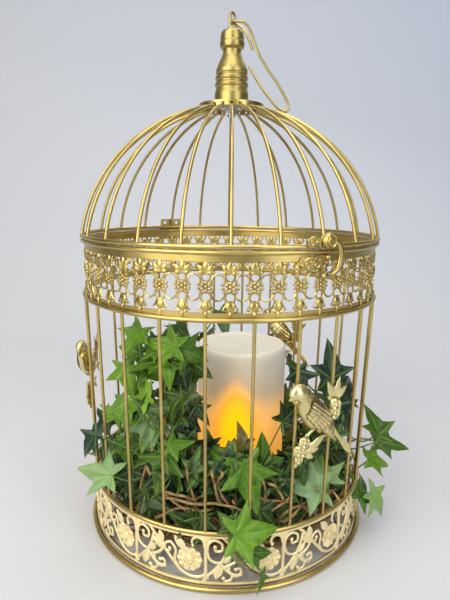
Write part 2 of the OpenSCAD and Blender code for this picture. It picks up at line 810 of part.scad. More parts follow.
// leaves: [azimuth, radius, height, length, heading of the tip (0 up, 90 along), upward tilt]
leaves_left = [[-52, 104, 176, 38, -60, 30], [-60, 108, 160, 32, -62, 20],
    [-66, 110, 144, 32, -80, 15], [-55, 98, 138, 36, 114, 44], [-52, 74, 137, 34, 170, 20],
    [-68, 108, 124, 34, -110, 11], [-47, 82, 108, 32, -134, 20], [-54, 96, 110, 40, 129, 35],
    [-78, 108, 96, 36, -110, 25], [-81, 99, 90, 42, -124, 30], [-83, 105, 76, 34, 150, 30],
    [-36, 110, 92, 32, 4, 30], [-90, 126, 52, 36, -100, 20], [-80, 98, 40, 40, -165, 30],
    [-105, 129, 66, 34, -60, 30], [-105, 128, 42, 28, 170, 20], [-63, 100, 48, 36, -170, 25],
    [-60, 94, 22, 34, 150, 30]];
leaves_front = [[-30, 92, 86, 42, -10, 30], [-41, 96, 88, 30, -40, 30], [-26, 78, 100, 34, 46, 10],
    [-12, 90, 72, 34, 50, 20], [-22, 108, 56, 40, 129, 21], [-36, 106, 50, 34, -132, 30],
    [-27, 125, 40, 42, 178, 8], [-20, 130, 20, 24, 150, 8], [2, 96, 74, 38, 20, 20],
    [-4, 98, 50, 38, 160, 44], [-42, 94, 26, 34, 160, 30], [-10, 96, 24, 34, -150, 30]];
leaves_right = [[24, 98, 134, 36, 0, 20], [38, 98, 110, 36, 60, 25], [28, 94, 92, 34, -142, 44],
    [44, 100, 78, 40, 122, 30], [15, 104, 62, 34, -170, 54], [15, 126, 42, 38, 178, 4],
    [22, 100, 42, 34, 150, 30], [60, 128, 76, 34, 20, 30], [60, 143, 54, 36, 110, 30],
    [60, 125, 36, 32, 165, 15], [50, 102, 44, 36, 170, 30], [74, 102, 62, 36, -40, 30],
    [76, 102, 34, 34, 150, 30], [40, 92, 24, 34, 100, 40]];
leaves_back = [[158, 70, 148, 34, -20, 20], [-158, 76, 142, 34, -16, 20], [178, 84, 114, 38, 180, 30],
    [154, 92, 96, 36, 130, 30], [112, 100, 66, 38, 118, 30], [92, 104, 88, 36, -20, 30],
    [94, 102, 44, 36, 142, 30], [134, 96, 40, 36, -150, 30], [166, 98, 62, 34, 60, 30],
    [-168, 101, 44, 36, 170, 30], [-136, 100, 72, 38, -60, 30], [-122, 102, 38, 34, 150, 44],
    [-116, 102, 88, 34, 20, 30], [150, 94, 24, 34, 110, 40], [-146, 94, 22, 34, -110, 40],
    [180, 127, 58, 30, 180, 16]];
leaf_t_ivy = 0.5;
leaf_lift = 0.36;
stalk_r = 0.7;

// one half of a five-lobed leaf, tip at [0, 1], stalk at [0, 0]
half_leaf = [[0, 0.04], [0.13, 0], [0.42, -0.1], [0.3, 0.2], [0.56, 0.44], [0.24, 0.5], [0.11, 0.76], [0, 1]];
function leaf_outline() = concat(half_leaf,
    [for (i = [len(half_leaf) - 2 : -1 : 1]) [-half_leaf[i][0], half_leaf[i][1]]]);

// blade's turn, as a matrix from leaf axes (x across, y to the tip, z out of the face)
function rot_z(a) = [[cos(a), -sin(a), 0], [sin(a), cos(a), 0], [0, 0, 1]];
function rot_x(a) = [[1, 0, 0], [0, cos(a), -sin(a)], [0, sin(a), cos(a)]];
function rot_y(a) = [[cos(a), 0, sin(a)], [0, 1, 0], [-sin(a), 0, cos(a)]];
function leaf_turn(l) = rot_z(l[0]) * rot_x(-l[5]) * rot_y(l[4]) * rot_x(90);
function leaf_base(l) = cyl(l[0], l[1], l[2]) + leaf_turn(l) * [0, -leaf_lift * l[3], -leaf_t_ivy / 2];
function nearest(p, q, i = 0, best = 0) = i == len(q) ? q[best] :
    nearest(p, q, i + 1, norm(q[i] - p) < norm(q[best] - p) ? i : best);

module leaf(l) {
    turn = leaf_turn(l);
    base = leaf_base(l);
    foot = nearest(base, stem_points);
    c = cyl(l[0], l[1], l[2]);
    color("#3F7D2B") {
        multmatrix([[turn[0][0], turn[0][1], turn[0][2], c[0]], [turn[1][0], turn[1][1], turn[1][2], c[1]],
            [turn[2][0], turn[2][1], turn[2][2], c[2]], [0, 0, 0, 1]])
            translate([0, -leaf_lift * l[3], -leaf_t_ivy / 2])
                linear_extrude(leaf_t_ivy)
                    polygon(leaf_outline() * l[3]);
        rod(base + turn * [0, 0.1 * l[3], leaf_t_ivy / 2], foot, stalk_r);
    }
}

module ivy_leaves_left() {
    for (l = leaves_left)
        leaf(l);
}

module ivy_leaves_front() {
    for (l = leaves_front)
        leaf(l);
}

module ivy_leaves_right() {
    for (l = leaves_right)
        leaf(l);
}

module ivy_leaves_back() {
    for (l = leaves_back)
        leaf(l);
}

base_ring();
base_inner_ring();
floor_plate();
lower_band();
foot_ring();
side_bars();
upper_band_ring();
upper_band();
rim_ring();
lid_ring();
dome_wires();
crown_plate();
finial();
finial_stud();
finial_washer();
finial_nut();
hanging_eye();
hanging_hook();
hinge_lower_leaf();
hinge_upper_leaf();
hinge_pin();
hinge_rivets();
latch_plate();
latch_rivet();
latch_hook();
catch_plate();
bird_front();
bird_right();
bird_left();
candle_shell();
candle_housing();
candle_flame();
candle_led();
candle_batteries();
candle_contacts();
battery_cover();
candle_switch();
vine_ring();
vine_stems();
ivy_leaves_left();
ivy_leaves_front();
ivy_leaves_right();
ivy_leaves_back();
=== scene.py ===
"""Looks for a birdcage card holder: pierced gold bands, cast birds, a lit candle and an ivy garland."""

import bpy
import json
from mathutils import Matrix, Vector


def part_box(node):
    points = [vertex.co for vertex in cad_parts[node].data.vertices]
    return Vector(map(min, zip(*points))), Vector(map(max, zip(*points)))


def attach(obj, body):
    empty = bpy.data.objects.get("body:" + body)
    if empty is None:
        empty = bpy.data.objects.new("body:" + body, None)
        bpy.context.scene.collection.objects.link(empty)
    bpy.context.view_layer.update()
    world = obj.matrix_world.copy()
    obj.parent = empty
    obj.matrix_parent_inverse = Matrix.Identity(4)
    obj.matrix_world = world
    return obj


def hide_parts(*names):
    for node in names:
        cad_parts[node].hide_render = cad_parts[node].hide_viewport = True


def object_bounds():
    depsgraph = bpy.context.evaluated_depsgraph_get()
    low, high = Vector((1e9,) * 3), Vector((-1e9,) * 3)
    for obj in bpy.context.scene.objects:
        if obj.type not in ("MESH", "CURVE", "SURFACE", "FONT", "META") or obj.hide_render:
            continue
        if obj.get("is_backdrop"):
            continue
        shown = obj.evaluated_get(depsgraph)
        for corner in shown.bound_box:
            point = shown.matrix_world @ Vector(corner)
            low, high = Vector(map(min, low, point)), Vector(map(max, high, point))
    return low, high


bl_info = {
    "name": "Birdcage Card Holder",
    "version": (1, 0, 0),
    "blender": (4, 5, 0),
    "location": "View3D > Sidebar > Birdcage",
    "description": "Builds the ornament, garland, finishes and studio of a birdcage card holder",
    "category": "Add Mesh",
}

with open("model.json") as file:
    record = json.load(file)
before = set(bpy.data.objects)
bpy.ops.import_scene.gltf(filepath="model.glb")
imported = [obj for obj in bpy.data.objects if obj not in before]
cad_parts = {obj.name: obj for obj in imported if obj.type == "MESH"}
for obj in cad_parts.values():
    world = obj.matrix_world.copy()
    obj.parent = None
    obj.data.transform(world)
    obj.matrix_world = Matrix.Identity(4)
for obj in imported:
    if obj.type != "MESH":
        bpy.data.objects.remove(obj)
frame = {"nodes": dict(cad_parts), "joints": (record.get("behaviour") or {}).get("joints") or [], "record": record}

import json
from collections import namedtuple

import bmesh
import bpy
import numpy as np
from bpy.props import FloatProperty, IntProperty, PointerProperty, StringProperty
from mathutils import Matrix, Vector

MM = 0.001
CAD_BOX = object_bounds()
UP = np.array([0.0, 0.0, 1.0])
OUT = np.array([0.0, 1.0, 0.0])  # outwards, in a flat pattern of (along, out, up)


def low(node, axis):
    """Lowest coordinate of a CAD node on an axis, in mm."""
    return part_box(node)[0][axis] / MM


def high(node, axis):
    """Highest coordinate of a CAD node on an axis, in mm."""
    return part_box(node)[1][axis] / MM


def middle(node, axis):
    """Middle of a CAD node on an axis, in mm."""
    return (low(node, axis) + high(node, axis)) / 2


WALL_R = high("upper_band", 0)
UPPER_TOP = high("upper_band", 2)
SCROLL_R = high("lower_band", 0)


# ---------------------------------------------------------------- sizes and colours


class CageSizes(bpy.types.PropertyGroup):
    """Counts and sizes of the ornament."""

    motifs: IntProperty(name="Motifs", description="Filigree motifs around the upper band", default=48,
                        min=24, max=72)
    daisies: IntProperty(name="Daisies", description="Daisies around the lower band", default=13, min=8,
                         max=20)
    petals: IntProperty(name="Petals", description="Petals of one daisy", default=10, min=6, max=16)
    wire: FloatProperty(name="Raised wire", description="Width of the raised filigree wire",
                        default=1.15 * MM, min=0.6 * MM, max=2 * MM, unit="LENGTH")
    leaf_fold: FloatProperty(name="Leaf fold", description="How far a leaf's halves rise from its midrib",
                             default=0.24, min=0, max=0.6, subtype="FACTOR")
    leaf_droop: FloatProperty(name="Leaf droop", description="How far a leaf's tip bends back", default=0.16,
                              min=0, max=0.6, subtype="FACTOR")


class CageColours(bpy.types.PropertyGroup):
    """Colours of the finishes, as sRGB hex codes."""

    gold: StringProperty(name="Gold", description="Champagne gold wire and sheet", default="#BDA765")
    pale_gold: StringProperty(name="Pale gold", description="Stamped lower band", default="#E8D6A2")
    cast_gold: StringProperty(name="Cast gold", description="Cast birds with their twigs", default="#E2D498")
    brass: StringProperty(name="Brass", description="Turned finial, eye and hook", default="#AE9B5E")
    wax: StringProperty(name="Wax", description="Candle skin", default="#DCD5C4")
    glow: StringProperty(name="Glow", description="Light of the candle's lamp", default="#FFB60C")
    leaf: StringProperty(name="Leaf", description="Fresh green of most leaves", default="#38590E")
    stem: StringProperty(name="Stem", description="Floral wire of the garland", default="#8C7248")
    floor: StringProperty(name="Floor", description="Sheet in the bottom of the cage", default="#DADBD8")


def sizes():
    """The scene's sizes."""
    return bpy.context.scene.cage_sizes


def colours():
    """The scene's colours."""
    return bpy.context.scene.cage_colours


# ---------------------------------------------------------------- finishes


def srgb(code):
    """Linear colour of an sRGB hex code: c / 12.92 below 0.04045, else ((c + 0.055) / 1.055) ** 2.4."""
    c = np.array([int(code[i : i + 2], 16) / 255 for i in (1, 3, 5)])
    c = np.where(c <= 0.04045, c / 12.92, ((c + 0.055) / 1.055) ** 2.4)
    return (*[float(v) for v in c], 1.0)


def add(tree, kind, settings=None, stops=(), **links):
    """Adds a node of a kind: sets its properties and sockets, puts (place, hex code) stops on its colour
    ramp, and links outputs to its sockets, named with _ for a space or numbered, as _6."""
    n = tree.nodes.new(kind)
    for key, value in (settings or {}).items():
        if isinstance(key, int) or key in n.inputs:
            n.inputs[key].default_value = value
        else:
            setattr(n, key, value)
    if stops:
        elements = n.color_ramp.elements
        while len(elements) < len(stops):
            elements.new(0.5)
        for element, (at, code) in zip(elements, stops):
            element.position, element.color = at, srgb(code)
    for key, source in links.items():
        socket = int(key[1:]) if key[1:].isdigit() else key.replace("_", " ")
        tree.links.new(source, n.inputs[socket])
    return n


def shade(hex_code, gain):
    """The same hue, lighter or darker by a gain in sRGB."""
    v = [min(255, max(0, round(int(hex_code[i : i + 2], 16) * gain))) for i in (1, 3, 5)]
    return "#%02X%02X%02X" % tuple(v)


def finish(name, **settings):
    """An empty material with its principled shader; settings are the shader's own sockets."""
    look = bpy.data.materials.new(name)
    look.use_nodes = True
    tree = look.node_tree
    tree.nodes.clear()
    shader = add(tree, "ShaderNodeBsdfPrincipled", {k.replace("_", " "): v for k, v in settings.items()})
    add(tree, "ShaderNodeOutputMaterial", Surface=shader.outputs[0])
    return look, tree, shader


def feed(tree, shader, **sources):
    """Links values to the shader's sockets, named with _ for a space."""
    for socket, source in sources.items():
        tree.links.new(source, shader.inputs[socket.replace("_", " ")])


def blotches(tree, size_mm, detail=3.0, rough=0.5):
    """A value that runs mostly from 0.3 to 0.7 in blotches about size_mm across, on Object coordinates, which
    are metres."""
    here = add(tree, "ShaderNodeTexCoord").outputs["Object"]
    pattern = {"Scale": 1 / (size_mm * MM), "Detail": detail, "Roughness": rough}
    return add(tree, "ShaderNodeTexNoise", pattern, Vector=here).outputs["Fac"]


def blotched(tree, size_mm, *stops, detail=3.0, rough=0.5):
    """A colour in blotches about size_mm across, by (place, hex code) stops."""
    value = blotches(tree, size_mm, detail, rough)
    return add(tree, "ShaderNodeValToRGB", stops=stops, Fac=value).outputs["Color"]


def tinted(code, *stops):
    """Stops of one colour: (place, gain) each."""
    return [(at, shade(code, gain)) for at, gain in stops]


def limits(least, most, start=0.0, end=1.0):
    """Settings of a Map Range node that takes least to most over to start to end."""
    return {"From Min": least, "From Max": most, "To Min": start, "To Max": end}


def uneven(tree, size_mm, start, end):
    """A value that wanders between start and end in blotches about size_mm across."""
    value = blotches(tree, size_mm)
    return add(tree, "ShaderNodeMapRange", limits(0.3, 0.7, start, end), Value=value).outputs["Result"]


def relief(tree, shader, height, depth_mm, strength):
    """Relief of a real depth on the shader's normal, from a height between 0 and 1."""
    bump = add(tree, "ShaderNodeBump", {"Distance": depth_mm * MM, "Strength": strength}, Height=height)
    feed(tree, shader, Normal=bump.outputs["Normal"])


def gold_wire():
    """Champagne gold lacquer over plated steel wire: a soft mirror, warmer and rougher in patches."""
    look, tree, shader = finish("champagne_gold_lacquer", Metallic=1.0)
    stops = tinted(colours().gold, (0.3, 0.93), (0.52, 1), (0.75, 1.06))
    feed(tree, shader, Base_Color=blotched(tree, 22, *stops, detail=2), Roughness=uneven(tree, 9, 0.27, 0.38))
    relief(tree, shader, blotches(tree, 2.2, 2), 0.008, 0.3)
    return look


def gold_cast():
    """The same gold on a small casting: its skin spreads the light, and painted shade darkens the hollows by the
    feathers.
    """
    look, tree, shader = finish("champagne_gold_casting", Metallic=0.92, Specular_IOR_Level=0.6)
    stops = tinted(colours().cast_gold, (0.3, 0.94), (0.55, 1), (0.75, 1.05))
    # painted shade: this attribute darkens the colour in the grooves between feathers and along the wing feathers'
    # edges
    depth = add(tree, "ShaderNodeAttribute", {"attribute_name": "hollow_shade"}).outputs["Fac"]
    shadow = ((0.0, "#FFFFFF"), (0.4, "#A88E54"), (1.0, "#40300F"))
    hollow_shade = add(tree, "ShaderNodeValToRGB", stops=shadow, Fac=depth).outputs["Color"]
    colour = add(tree, "ShaderNodeMix", {"data_type": "RGBA", "blend_type": "MULTIPLY", 0: 1.0},
                 _6=blotched(tree, 12, *stops, detail=2), _7=hollow_shade)
    feed(tree, shader, Base_Color=colour.outputs[2], Roughness=uneven(tree, 5, 0.24, 0.34))
    relief(tree, shader, blotches(tree, 0.9), 0.02, 0.5)
    return look


def pale_gold_paint():
    """Pale gold paint on stamped metal: satin, almost a cream, darker in patches."""
    look, tree, shader = finish("pale_gold_paint", Metallic=0.35, Specular_IOR_Level=0.6)
    stops = tinted(colours().pale_gold, (0.3, 0.94), (0.5, 1), (0.72, 1.04))
    feed(tree, shader, Base_Color=blotched(tree, 9, *stops), Roughness=uneven(tree, 4, 0.34, 0.46))
    relief(tree, shader, blotches(tree, 1.2), 0.03, 0.5)
    return look


def turned_brass():
    """Brass-plated turned metal: fine lines around the axis, drawn 0.6 mm apart so that they show."""
    look, tree, shader = finish("turned_satin_brass", Metallic=1.0)
    turning = {"wave_type": "BANDS", "bands_direction": "Z", "Scale": 1 / (2 * 0.6 * MM) / 3.14,
               "Distortion": 0.05, "Detail": 1.0, "Detail Scale": 2.0}
    here = add(tree, "ShaderNodeTexCoord").outputs["Object"]
    lines = add(tree, "ShaderNodeTexWave", turning, Vector=here).outputs["Fac"]
    sheen = add(tree, "ShaderNodeMapRange", limits(0.3, 0.7, 0.36, 0.42), Value=lines).outputs["Result"]
    stops = tinted(colours().brass, (0.3, 0.96), (0.6, 1))
    feed(tree, shader, Base_Color=blotched(tree, 12, *stops, detail=2), Roughness=sheen)
    relief(tree, shader, lines, 0.001, 0.3)
    return look


def zinc():
    """Bright zinc plate on small turned hardware: cool and evenly clouded."""
    look, tree, shader = finish("bright_zinc_plate", Metallic=1.0)
    colour = blotched(tree, 2, (0.3, "#A9ABB0"), (0.6, "#C6C8CC"))
    feed(tree, shader, Base_Color=colour, Roughness=uneven(tree, 0.8, 0.25, 0.42))
    return look


def floor_sheet():
    """Grey satin paint on sheet steel: cloudy reflections painted into its colour as lighter and darker blotches,
    and a faint orange peel.
    """
    look, tree, shader = finish("grey_satin_paint", Metallic=0.1, Specular_IOR_Level=0.5)
    # painted reflection: lighter and darker blotches in the colour stand for cloudy reflections
    stops = tinted(colours().floor, (0.32, 0.74), (0.5, 1), (0.68, 1.14))
    colour = blotched(tree, 26, *stops, detail=4, rough=0.6)
    feed(tree, shader, Base_Color=colour, Roughness=uneven(tree, 8, 0.3, 0.48))
    relief(tree, shader, blotches(tree, 1.6, 2), 0.04, 0.5)
    return look


def wax():
    """Paraffin wax skin: soft sheen, light that travels inside it, and the lamp's glow through the wall, painted
    on as emission and a warmer colour.
    """
    look, tree, shader = finish("ivory_paraffin_wax", Roughness=0.42, Sheen_Weight=0.08,
                                Subsurface_Weight=0.2, Subsurface_Scale=0.012,
                                Subsurface_Radius=(1.0, 0.7, 0.45), Emission_Strength=1.0)
    # painted light: where the glow attribute is high, the wax is tinted warmer and emits the lamp's light
    lit_part = add(tree, "ShaderNodeAttribute", {"attribute_name": "glow"}).outputs["Fac"]
    warmth = ((0.0, "#FFFFFF"), (0.4, "#FFDDA4"), (0.62, "#FFBC50"), (1.0, "#FFB400"))
    lamp_light = ((0.0, "#000000"), (0.2, "#54361A"), (0.42, "#CC8A30"), (0.6, "#F09A18"),
                  (0.8, colours().glow), (1.0, "#FFC404"))
    warmed = add(tree, "ShaderNodeValToRGB", stops=warmth, Fac=lit_part).outputs["Color"]
    shining = add(tree, "ShaderNodeValToRGB", stops=lamp_light, Fac=lit_part).outputs["Color"]
    skin = blotched(tree, 40, *tinted(colours().wax, (0.3, 0.98), (0.6, 1)), detail=2)
    colour = add(tree, "ShaderNodeMix", {"data_type": "RGBA", "blend_type": "MULTIPLY", 0: 1.0},
                 _6=skin, _7=warmed)
    feed(tree, shader, Base_Color=colour.outputs[2], Emission_Color=shining)
    relief(tree, shader, blotches(tree, 12, 2), 0.06, 0.4)
    return look


def lit_plastic(name, code, strength):
    """A frosted plastic that its lamp lights from inside, brighter in patches."""
    look, tree, shader = finish(name, Roughness=0.5, Base_Color=srgb(code), Emission_Strength=strength)
    feed(tree, shader, Emission_Color=blotched(tree, 9, *tinted(code, (0.3, 0.8), (0.7, 1))))
    return look


def plastic(name, code, rough):
    """Moulded ABS: an even colour with the tool's fine texture."""
    look, tree, shader = finish(name, IOR=1.53)
    colour = blotched(tree, 6, *tinted(code, (0.3, 0.95), (0.7, 1)))
    feed(tree, shader, Base_Color=colour, Roughness=uneven(tree, 1.2, rough - 0.06, rough + 0.08))
    relief(tree, shader, blotches(tree, 0.6, 2), 0.02, 0.5)
    return look


def cell_jacket():
    """Plain painted steel can of a dry cell: dark, with a copper band over the top 28 hundredths."""
    look, tree, shader = finish("printed_steel_can", Metallic=0.8)
    here = add(tree, "ShaderNodeTexCoord").outputs["Object"]
    z = add(tree, "ShaderNodeSeparateXYZ", Vector=here).outputs["Z"]
    can = limits(low("candle_batteries", 2) * MM, high("candle_batteries", 2) * MM)
    height = add(tree, "ShaderNodeMapRange", can, Value=z).outputs["Result"]
    band = add(tree, "ShaderNodeValToRGB", stops=((0.0, "#3C4248"), (0.72, "#B98A4E")), Fac=height)
    band.color_ramp.interpolation = "CONSTANT"
    feed(tree, shader, Base_Color=band.outputs["Color"], Roughness=uneven(tree, 3, 0.25, 0.36))
    return look


def floral_stem():
    """Brown wrapped floral wire and twig: fibres along it every 0.8 mm, dull, darker and paler in blotches about 7
    mm across.
    """
    look, tree, shader = finish("wrapped_floral_wire", Roughness=0.72, Specular_IOR_Level=0.3)
    stops = tinted(colours().stem, (0.3, 0.5), (0.5, 1), (0.72, 1.35))
    feed(tree, shader, Base_Color=blotched(tree, 7, *stops, detail=4, rough=0.65))
    relief(tree, shader, blotches(tree, 0.8, 4, 0.7), 0.25, 0.8)
    return look


def ivy_leaf():
    """Printed polyester ivy: tone runs from blue green over fresh and pale green to bronze from leaf to leaf;
    it is partly the leaves' own colours and partly painted light and shade, the darkest stops painted shade.
    Veins are paler, with a net of small ones every 3.2 mm, the back is greyer, and the weave is drawn 1 mm
    wide so that it shows."""
    fresh = colours().leaf
    look, tree, shader = finish("printed_polyester_leaf", Specular_IOR_Level=0.25)
    tone, vein, under = (add(tree, "ShaderNodeAttribute", {"attribute_name": name}).outputs["Fac"]
                         for name in ("tone", "vein", "under"))
    patchy = add(tree, "ShaderNodeMath", {"operation": "ADD"}, _0=tone, _1=uneven(tree, 6, -0.05, 0.05))
    # painted light and shade: the darkest stops are painted shade, and tones go lighter or darker leaf by leaf
    # with the light
    greens_and_painted_shade = ((0.05, "#081C17"), (0.15, "#0C2720"), (0.22, "#121F08"), (0.36, shade(fresh, 0.6)),
              (0.5, fresh), (0.64, "#4F7512"), (0.78, "#6E9124"), (0.86, "#7C9660"), (0.92, "#6C8862"),
              (0.98, "#64461A"))
    cloth = add(tree, "ShaderNodeValToRGB", stops=greens_and_painted_shade, Fac=patchy.outputs[0])
    here = add(tree, "ShaderNodeTexCoord").outputs["Object"]
    net = add(tree, "ShaderNodeTexVoronoi", {"feature": "DISTANCE_TO_EDGE", "Scale": 1 / (3.2 * MM)},
              Vector=here)
    small = add(tree, "ShaderNodeMapRange", limits(0.0, 0.09, 0.12, 0.0), Value=net.outputs["Distance"])
    main = add(tree, "ShaderNodeMapRange", limits(0.1, 1.0, 0.0, 0.4), Value=vein)
    veins = add(tree, "ShaderNodeMath", {"operation": "MAXIMUM"}, _0=main.outputs[0], _1=small.outputs[0])
    face = add(tree, "ShaderNodeMix", {"data_type": "RGBA", 7: srgb("#86AE4A")},
               _0=veins.outputs[0], _6=cloth.outputs["Color"])
    back = add(tree, "ShaderNodeMath", {"operation": "MULTIPLY", 1: 0.55}, _0=under)
    colour = add(tree, "ShaderNodeMix", {"data_type": "RGBA", 7: srgb("#5C7A4A")},
                 _0=back.outputs[0], _6=face.outputs[2])
    feed(tree, shader, Base_Color=colour.outputs[2], Roughness=uneven(tree, 5, 0.3, 0.44))
    relief(tree, shader, blotches(tree, 1.0), 0.04, 0.6)
    return look


MATERIALS = {
    "gold_satin": gold_wire,
    "gold_cast": gold_cast,
    "pale_gold": pale_gold_paint,
    "turned_brass": turned_brass,
    "zinc_steel": zinc,
    "floor_sheet": floor_sheet,
    "ivory_wax": wax,
    "ivory_plastic": lambda: plastic("ivory_abs", "#E6E0CE", 0.45),
    "flame_diffuser": lambda: lit_plastic("frosted_flame", colours().glow, 3.0),
    "lamp": lambda: lit_plastic("clear_lamp_lens", "#FFE08A", 6.0),
    "cell_jacket": cell_jacket,
    "black_plastic": lambda: plastic("black_abs", "#1B1B1D", 0.5),
    "vine_stem": floral_stem,
    "ivy_leaf": ivy_leaf,
}
finishes_made = {}


def material(slot):
    """The finish of a material slot, made once."""
    if slot not in finishes_made:
        finishes_made[slot] = MATERIALS[slot]()
    return finishes_made[slot]


# ---------------------------------------------------------------- shapes


def grid(points, around=False, along=False):
    """Faces of an (m, n, 3) grid of points, one quad a cell; around joins its second side up, along its
    first."""
    m, n = points.shape[:2]
    i, j = np.meshgrid(np.arange(m if along else m - 1), np.arange(n if around else n - 1), indexing="ij")
    a, b = i * n, (i + 1) % m * n
    k = (j + 1) % n
    faces = np.stack([a + j, b + j, b + k, a + k], -1)
    return points.reshape(-1, 3), faces.reshape(-1, 4)


def join(parts):
    """One list of points and one of faces from many."""
    count = np.cumsum([0] + [len(p) for p, _ in parts])
    return np.concatenate([p for p, _ in parts]), np.concatenate([f + c for (_, f), c in zip(parts, count)])


def unit(v):
    """Vectors of length 1 with the same directions."""
    return v / np.maximum(np.linalg.norm(v, axis=-1, keepdims=True), 1e-9)


def smooth(points, steps=4):
    """A Catmull-Rom curve through the points, with steps points a stretch."""
    p = np.asarray(points, float)
    q = np.concatenate([[2 * p[0] - p[1]], p, [2 * p[-1] - p[-2]]])
    t = np.linspace(0, 1, steps, endpoint=False)[None, :, None]
    a, b, c, d = (q[k : len(p) - 1 + k, None] for k in range(4))
    curve = 0.5 * (2 * b + t * (c - a) + t**2 * (2 * a - 5 * b + 4 * c - d) + t**3 * (3 * b - a - 3 * c + d))
    return np.concatenate([curve.reshape(-1, p.shape[1]), p[-1:]])


def tube(path, radius, sides=8, ref=UP, flat=1.0, closed=False):
    """A ring of points, radius * (cos a * side + flat * sin a * up), carried along a path; side is square to
    the path and to ref. An open tube ends in a rounded cap: rings of 0.7 and 0 times the radius."""
    p = np.asarray(path, float)
    r = np.broadcast_to(np.asarray(radius, float), len(p)).copy()
    if closed:
        t = unit(np.roll(p, -1, 0) - np.roll(p, 1, 0))
    else:
        t = unit(np.gradient(p, axis=0))
        s, e = 0.7 * r[0] * t[0], 0.7 * r[-1] * t[-1]
        p = np.concatenate([[p[0] - s, p[0] - 0.7 * s], p, [p[-1] + 0.7 * e, p[-1] + e]])
        r = np.concatenate([[1e-4, 0.7 * r[0]], r, [0.7 * r[-1], 1e-4]])
        t = np.concatenate([t[:1], t[:1], t, t[-1:], t[-1:]])
    side = unit(np.cross(t, ref))
    up = np.cross(side, t)
    a = np.linspace(0, 2 * np.pi, sides, endpoint=False)[None, :, None]
    ring = np.cos(a) * side[:, None] + flat * np.sin(a) * up[:, None]
    return grid(p[:, None] + r[:, None, None] * ring, around=True, along=closed)


def bead(centre, radii, rows=5, sides=8):
    """An ellipsoid: centre + radii * (sin b cos a, sin b sin a, cos b)."""
    b = np.linspace(0, np.pi, rows)[:, None]
    a = np.linspace(0, 2 * np.pi, sides, endpoint=False)[None]
    ball = np.stack([np.sin(b) * np.cos(a), np.sin(b) * np.sin(a), np.cos(b) + 0 * a], -1)
    return grid(np.asarray(centre, float) + np.asarray(radii, float) * ball, around=True)


def turned(profile, sides, centre=(0, 0)):
    """A closed profile of (radius, height) points turned about the vertical through centre."""
    p = np.asarray(profile, float)
    a = np.linspace(0, 2 * np.pi, sides, endpoint=False)[None]
    r, z = p[:, :1], p[:, 1:]
    return grid(np.stack([centre[0] + r * np.cos(a), centre[1] + r * np.sin(a), z + 0 * a], -1), around=True)


def lens(length, width, thick, root=0.0, full=0.45, ridges=0, ridge=0.0, rows=9, sides=12, crown=0.0):
    """A petal or small leaf standing on its root, in (along, out, up). Its half width is
    width / 2 * sin(pi * u ** k) + root * (1 - u), k putting the widest place at full. Its section is
    thick * sin a out and that width * cos a along; ridges add ridge * cos(2 pi ridges v) to the front.
    crown bends the middle of its length outwards."""
    u = np.linspace(0, 1, rows)[:, None]
    k = np.log(0.5) / np.log(full)
    w = width / 2 * np.sin(np.pi * np.clip(u, 0, 1) ** k) ** 0.8 + root * (1 - u)
    a = np.linspace(0, 2 * np.pi, sides, endpoint=False)[None]
    v, o = np.cos(a), np.sin(a)
    swell = 0.35 + 0.65 * np.sin(np.pi * u**k)
    front = thick * o * swell + ridge * np.clip(o, 0, 1) * np.cos(2 * np.pi * ridges * v)
    return grid(np.stack([w * v, front + crown * np.sin(np.pi * u), length * u + 0 * a], -1), around=True)


def turn(part, angle, at=(0, 0, 0)):
    """Turns a flat-pattern part by degrees from up towards +along and moves its root to at."""
    p, f = part
    c, s = np.cos(np.radians(angle)), np.sin(np.radians(angle))
    moved = np.stack([p[:, 0] * c + p[:, 2] * s, p[:, 1], -p[:, 0] * s + p[:, 2] * c], -1)
    return moved + np.asarray(at, float), f


def wrap(part, radius, azimuths):
    """Bends a flat pattern (along, out, up) round the cage at each azimuth: angle = azimuth + along /
    radius."""
    p, f = part
    a = np.radians(np.asarray(azimuths, float))[:, None] + p[None, :, 0] / radius
    r = radius + p[None, :, 1]
    q = np.stack([r * np.sin(a), -r * np.cos(a), p[None, :, 2] + 0 * a], -1)
    n = len(p)
    faces = f[None] + (n * np.arange(len(azimuths)))[:, None, None]
    return q.reshape(-1, 3), faces.reshape(-1, f.shape[1])


def upright(points, out=0.0):
    """Flat (along, up) points as (along, out, up)."""
    return np.stack([points[:, 0], 0 * points[:, 0] + out, points[:, 1]], -1)


def laid(part, x, z):
    """A turned part laid down so that its axis points outwards from (x, z)."""
    p, f = part
    return p[:, [0, 2, 1]] + np.array([x, 0.0, z]), f


def hoop(x, z, radius, wire, sides, out=0.0):
    """A round wire hoop in the flat pattern."""
    ring = arc_points(x, z, radius, 0, 360, 17)[:-1]
    return tube(upright(ring, out), wire, sides, ref=OUT, closed=True)


def flat_wire(points, radius, sides=6, steps=4, flat=0.8, ball=0.0):
    """A raised wire in the flat pattern through (along, up) points, with a ball on its far end."""
    path = upright(smooth(np.asarray(points, float), steps))
    parts = [tube(path, radius, sides, ref=OUT, flat=flat)]
    if ball:
        parts.append(bead(path[-1], (ball, ball * flat, ball)))
    return join(parts)


def arc_points(x, z, radius, start, end, count=9):
    """Points on an arc, its angles in degrees from +along towards up."""
    a = np.radians(np.linspace(start, end, count))
    return np.stack([x + radius * np.cos(a), z + radius * np.sin(a)], -1)


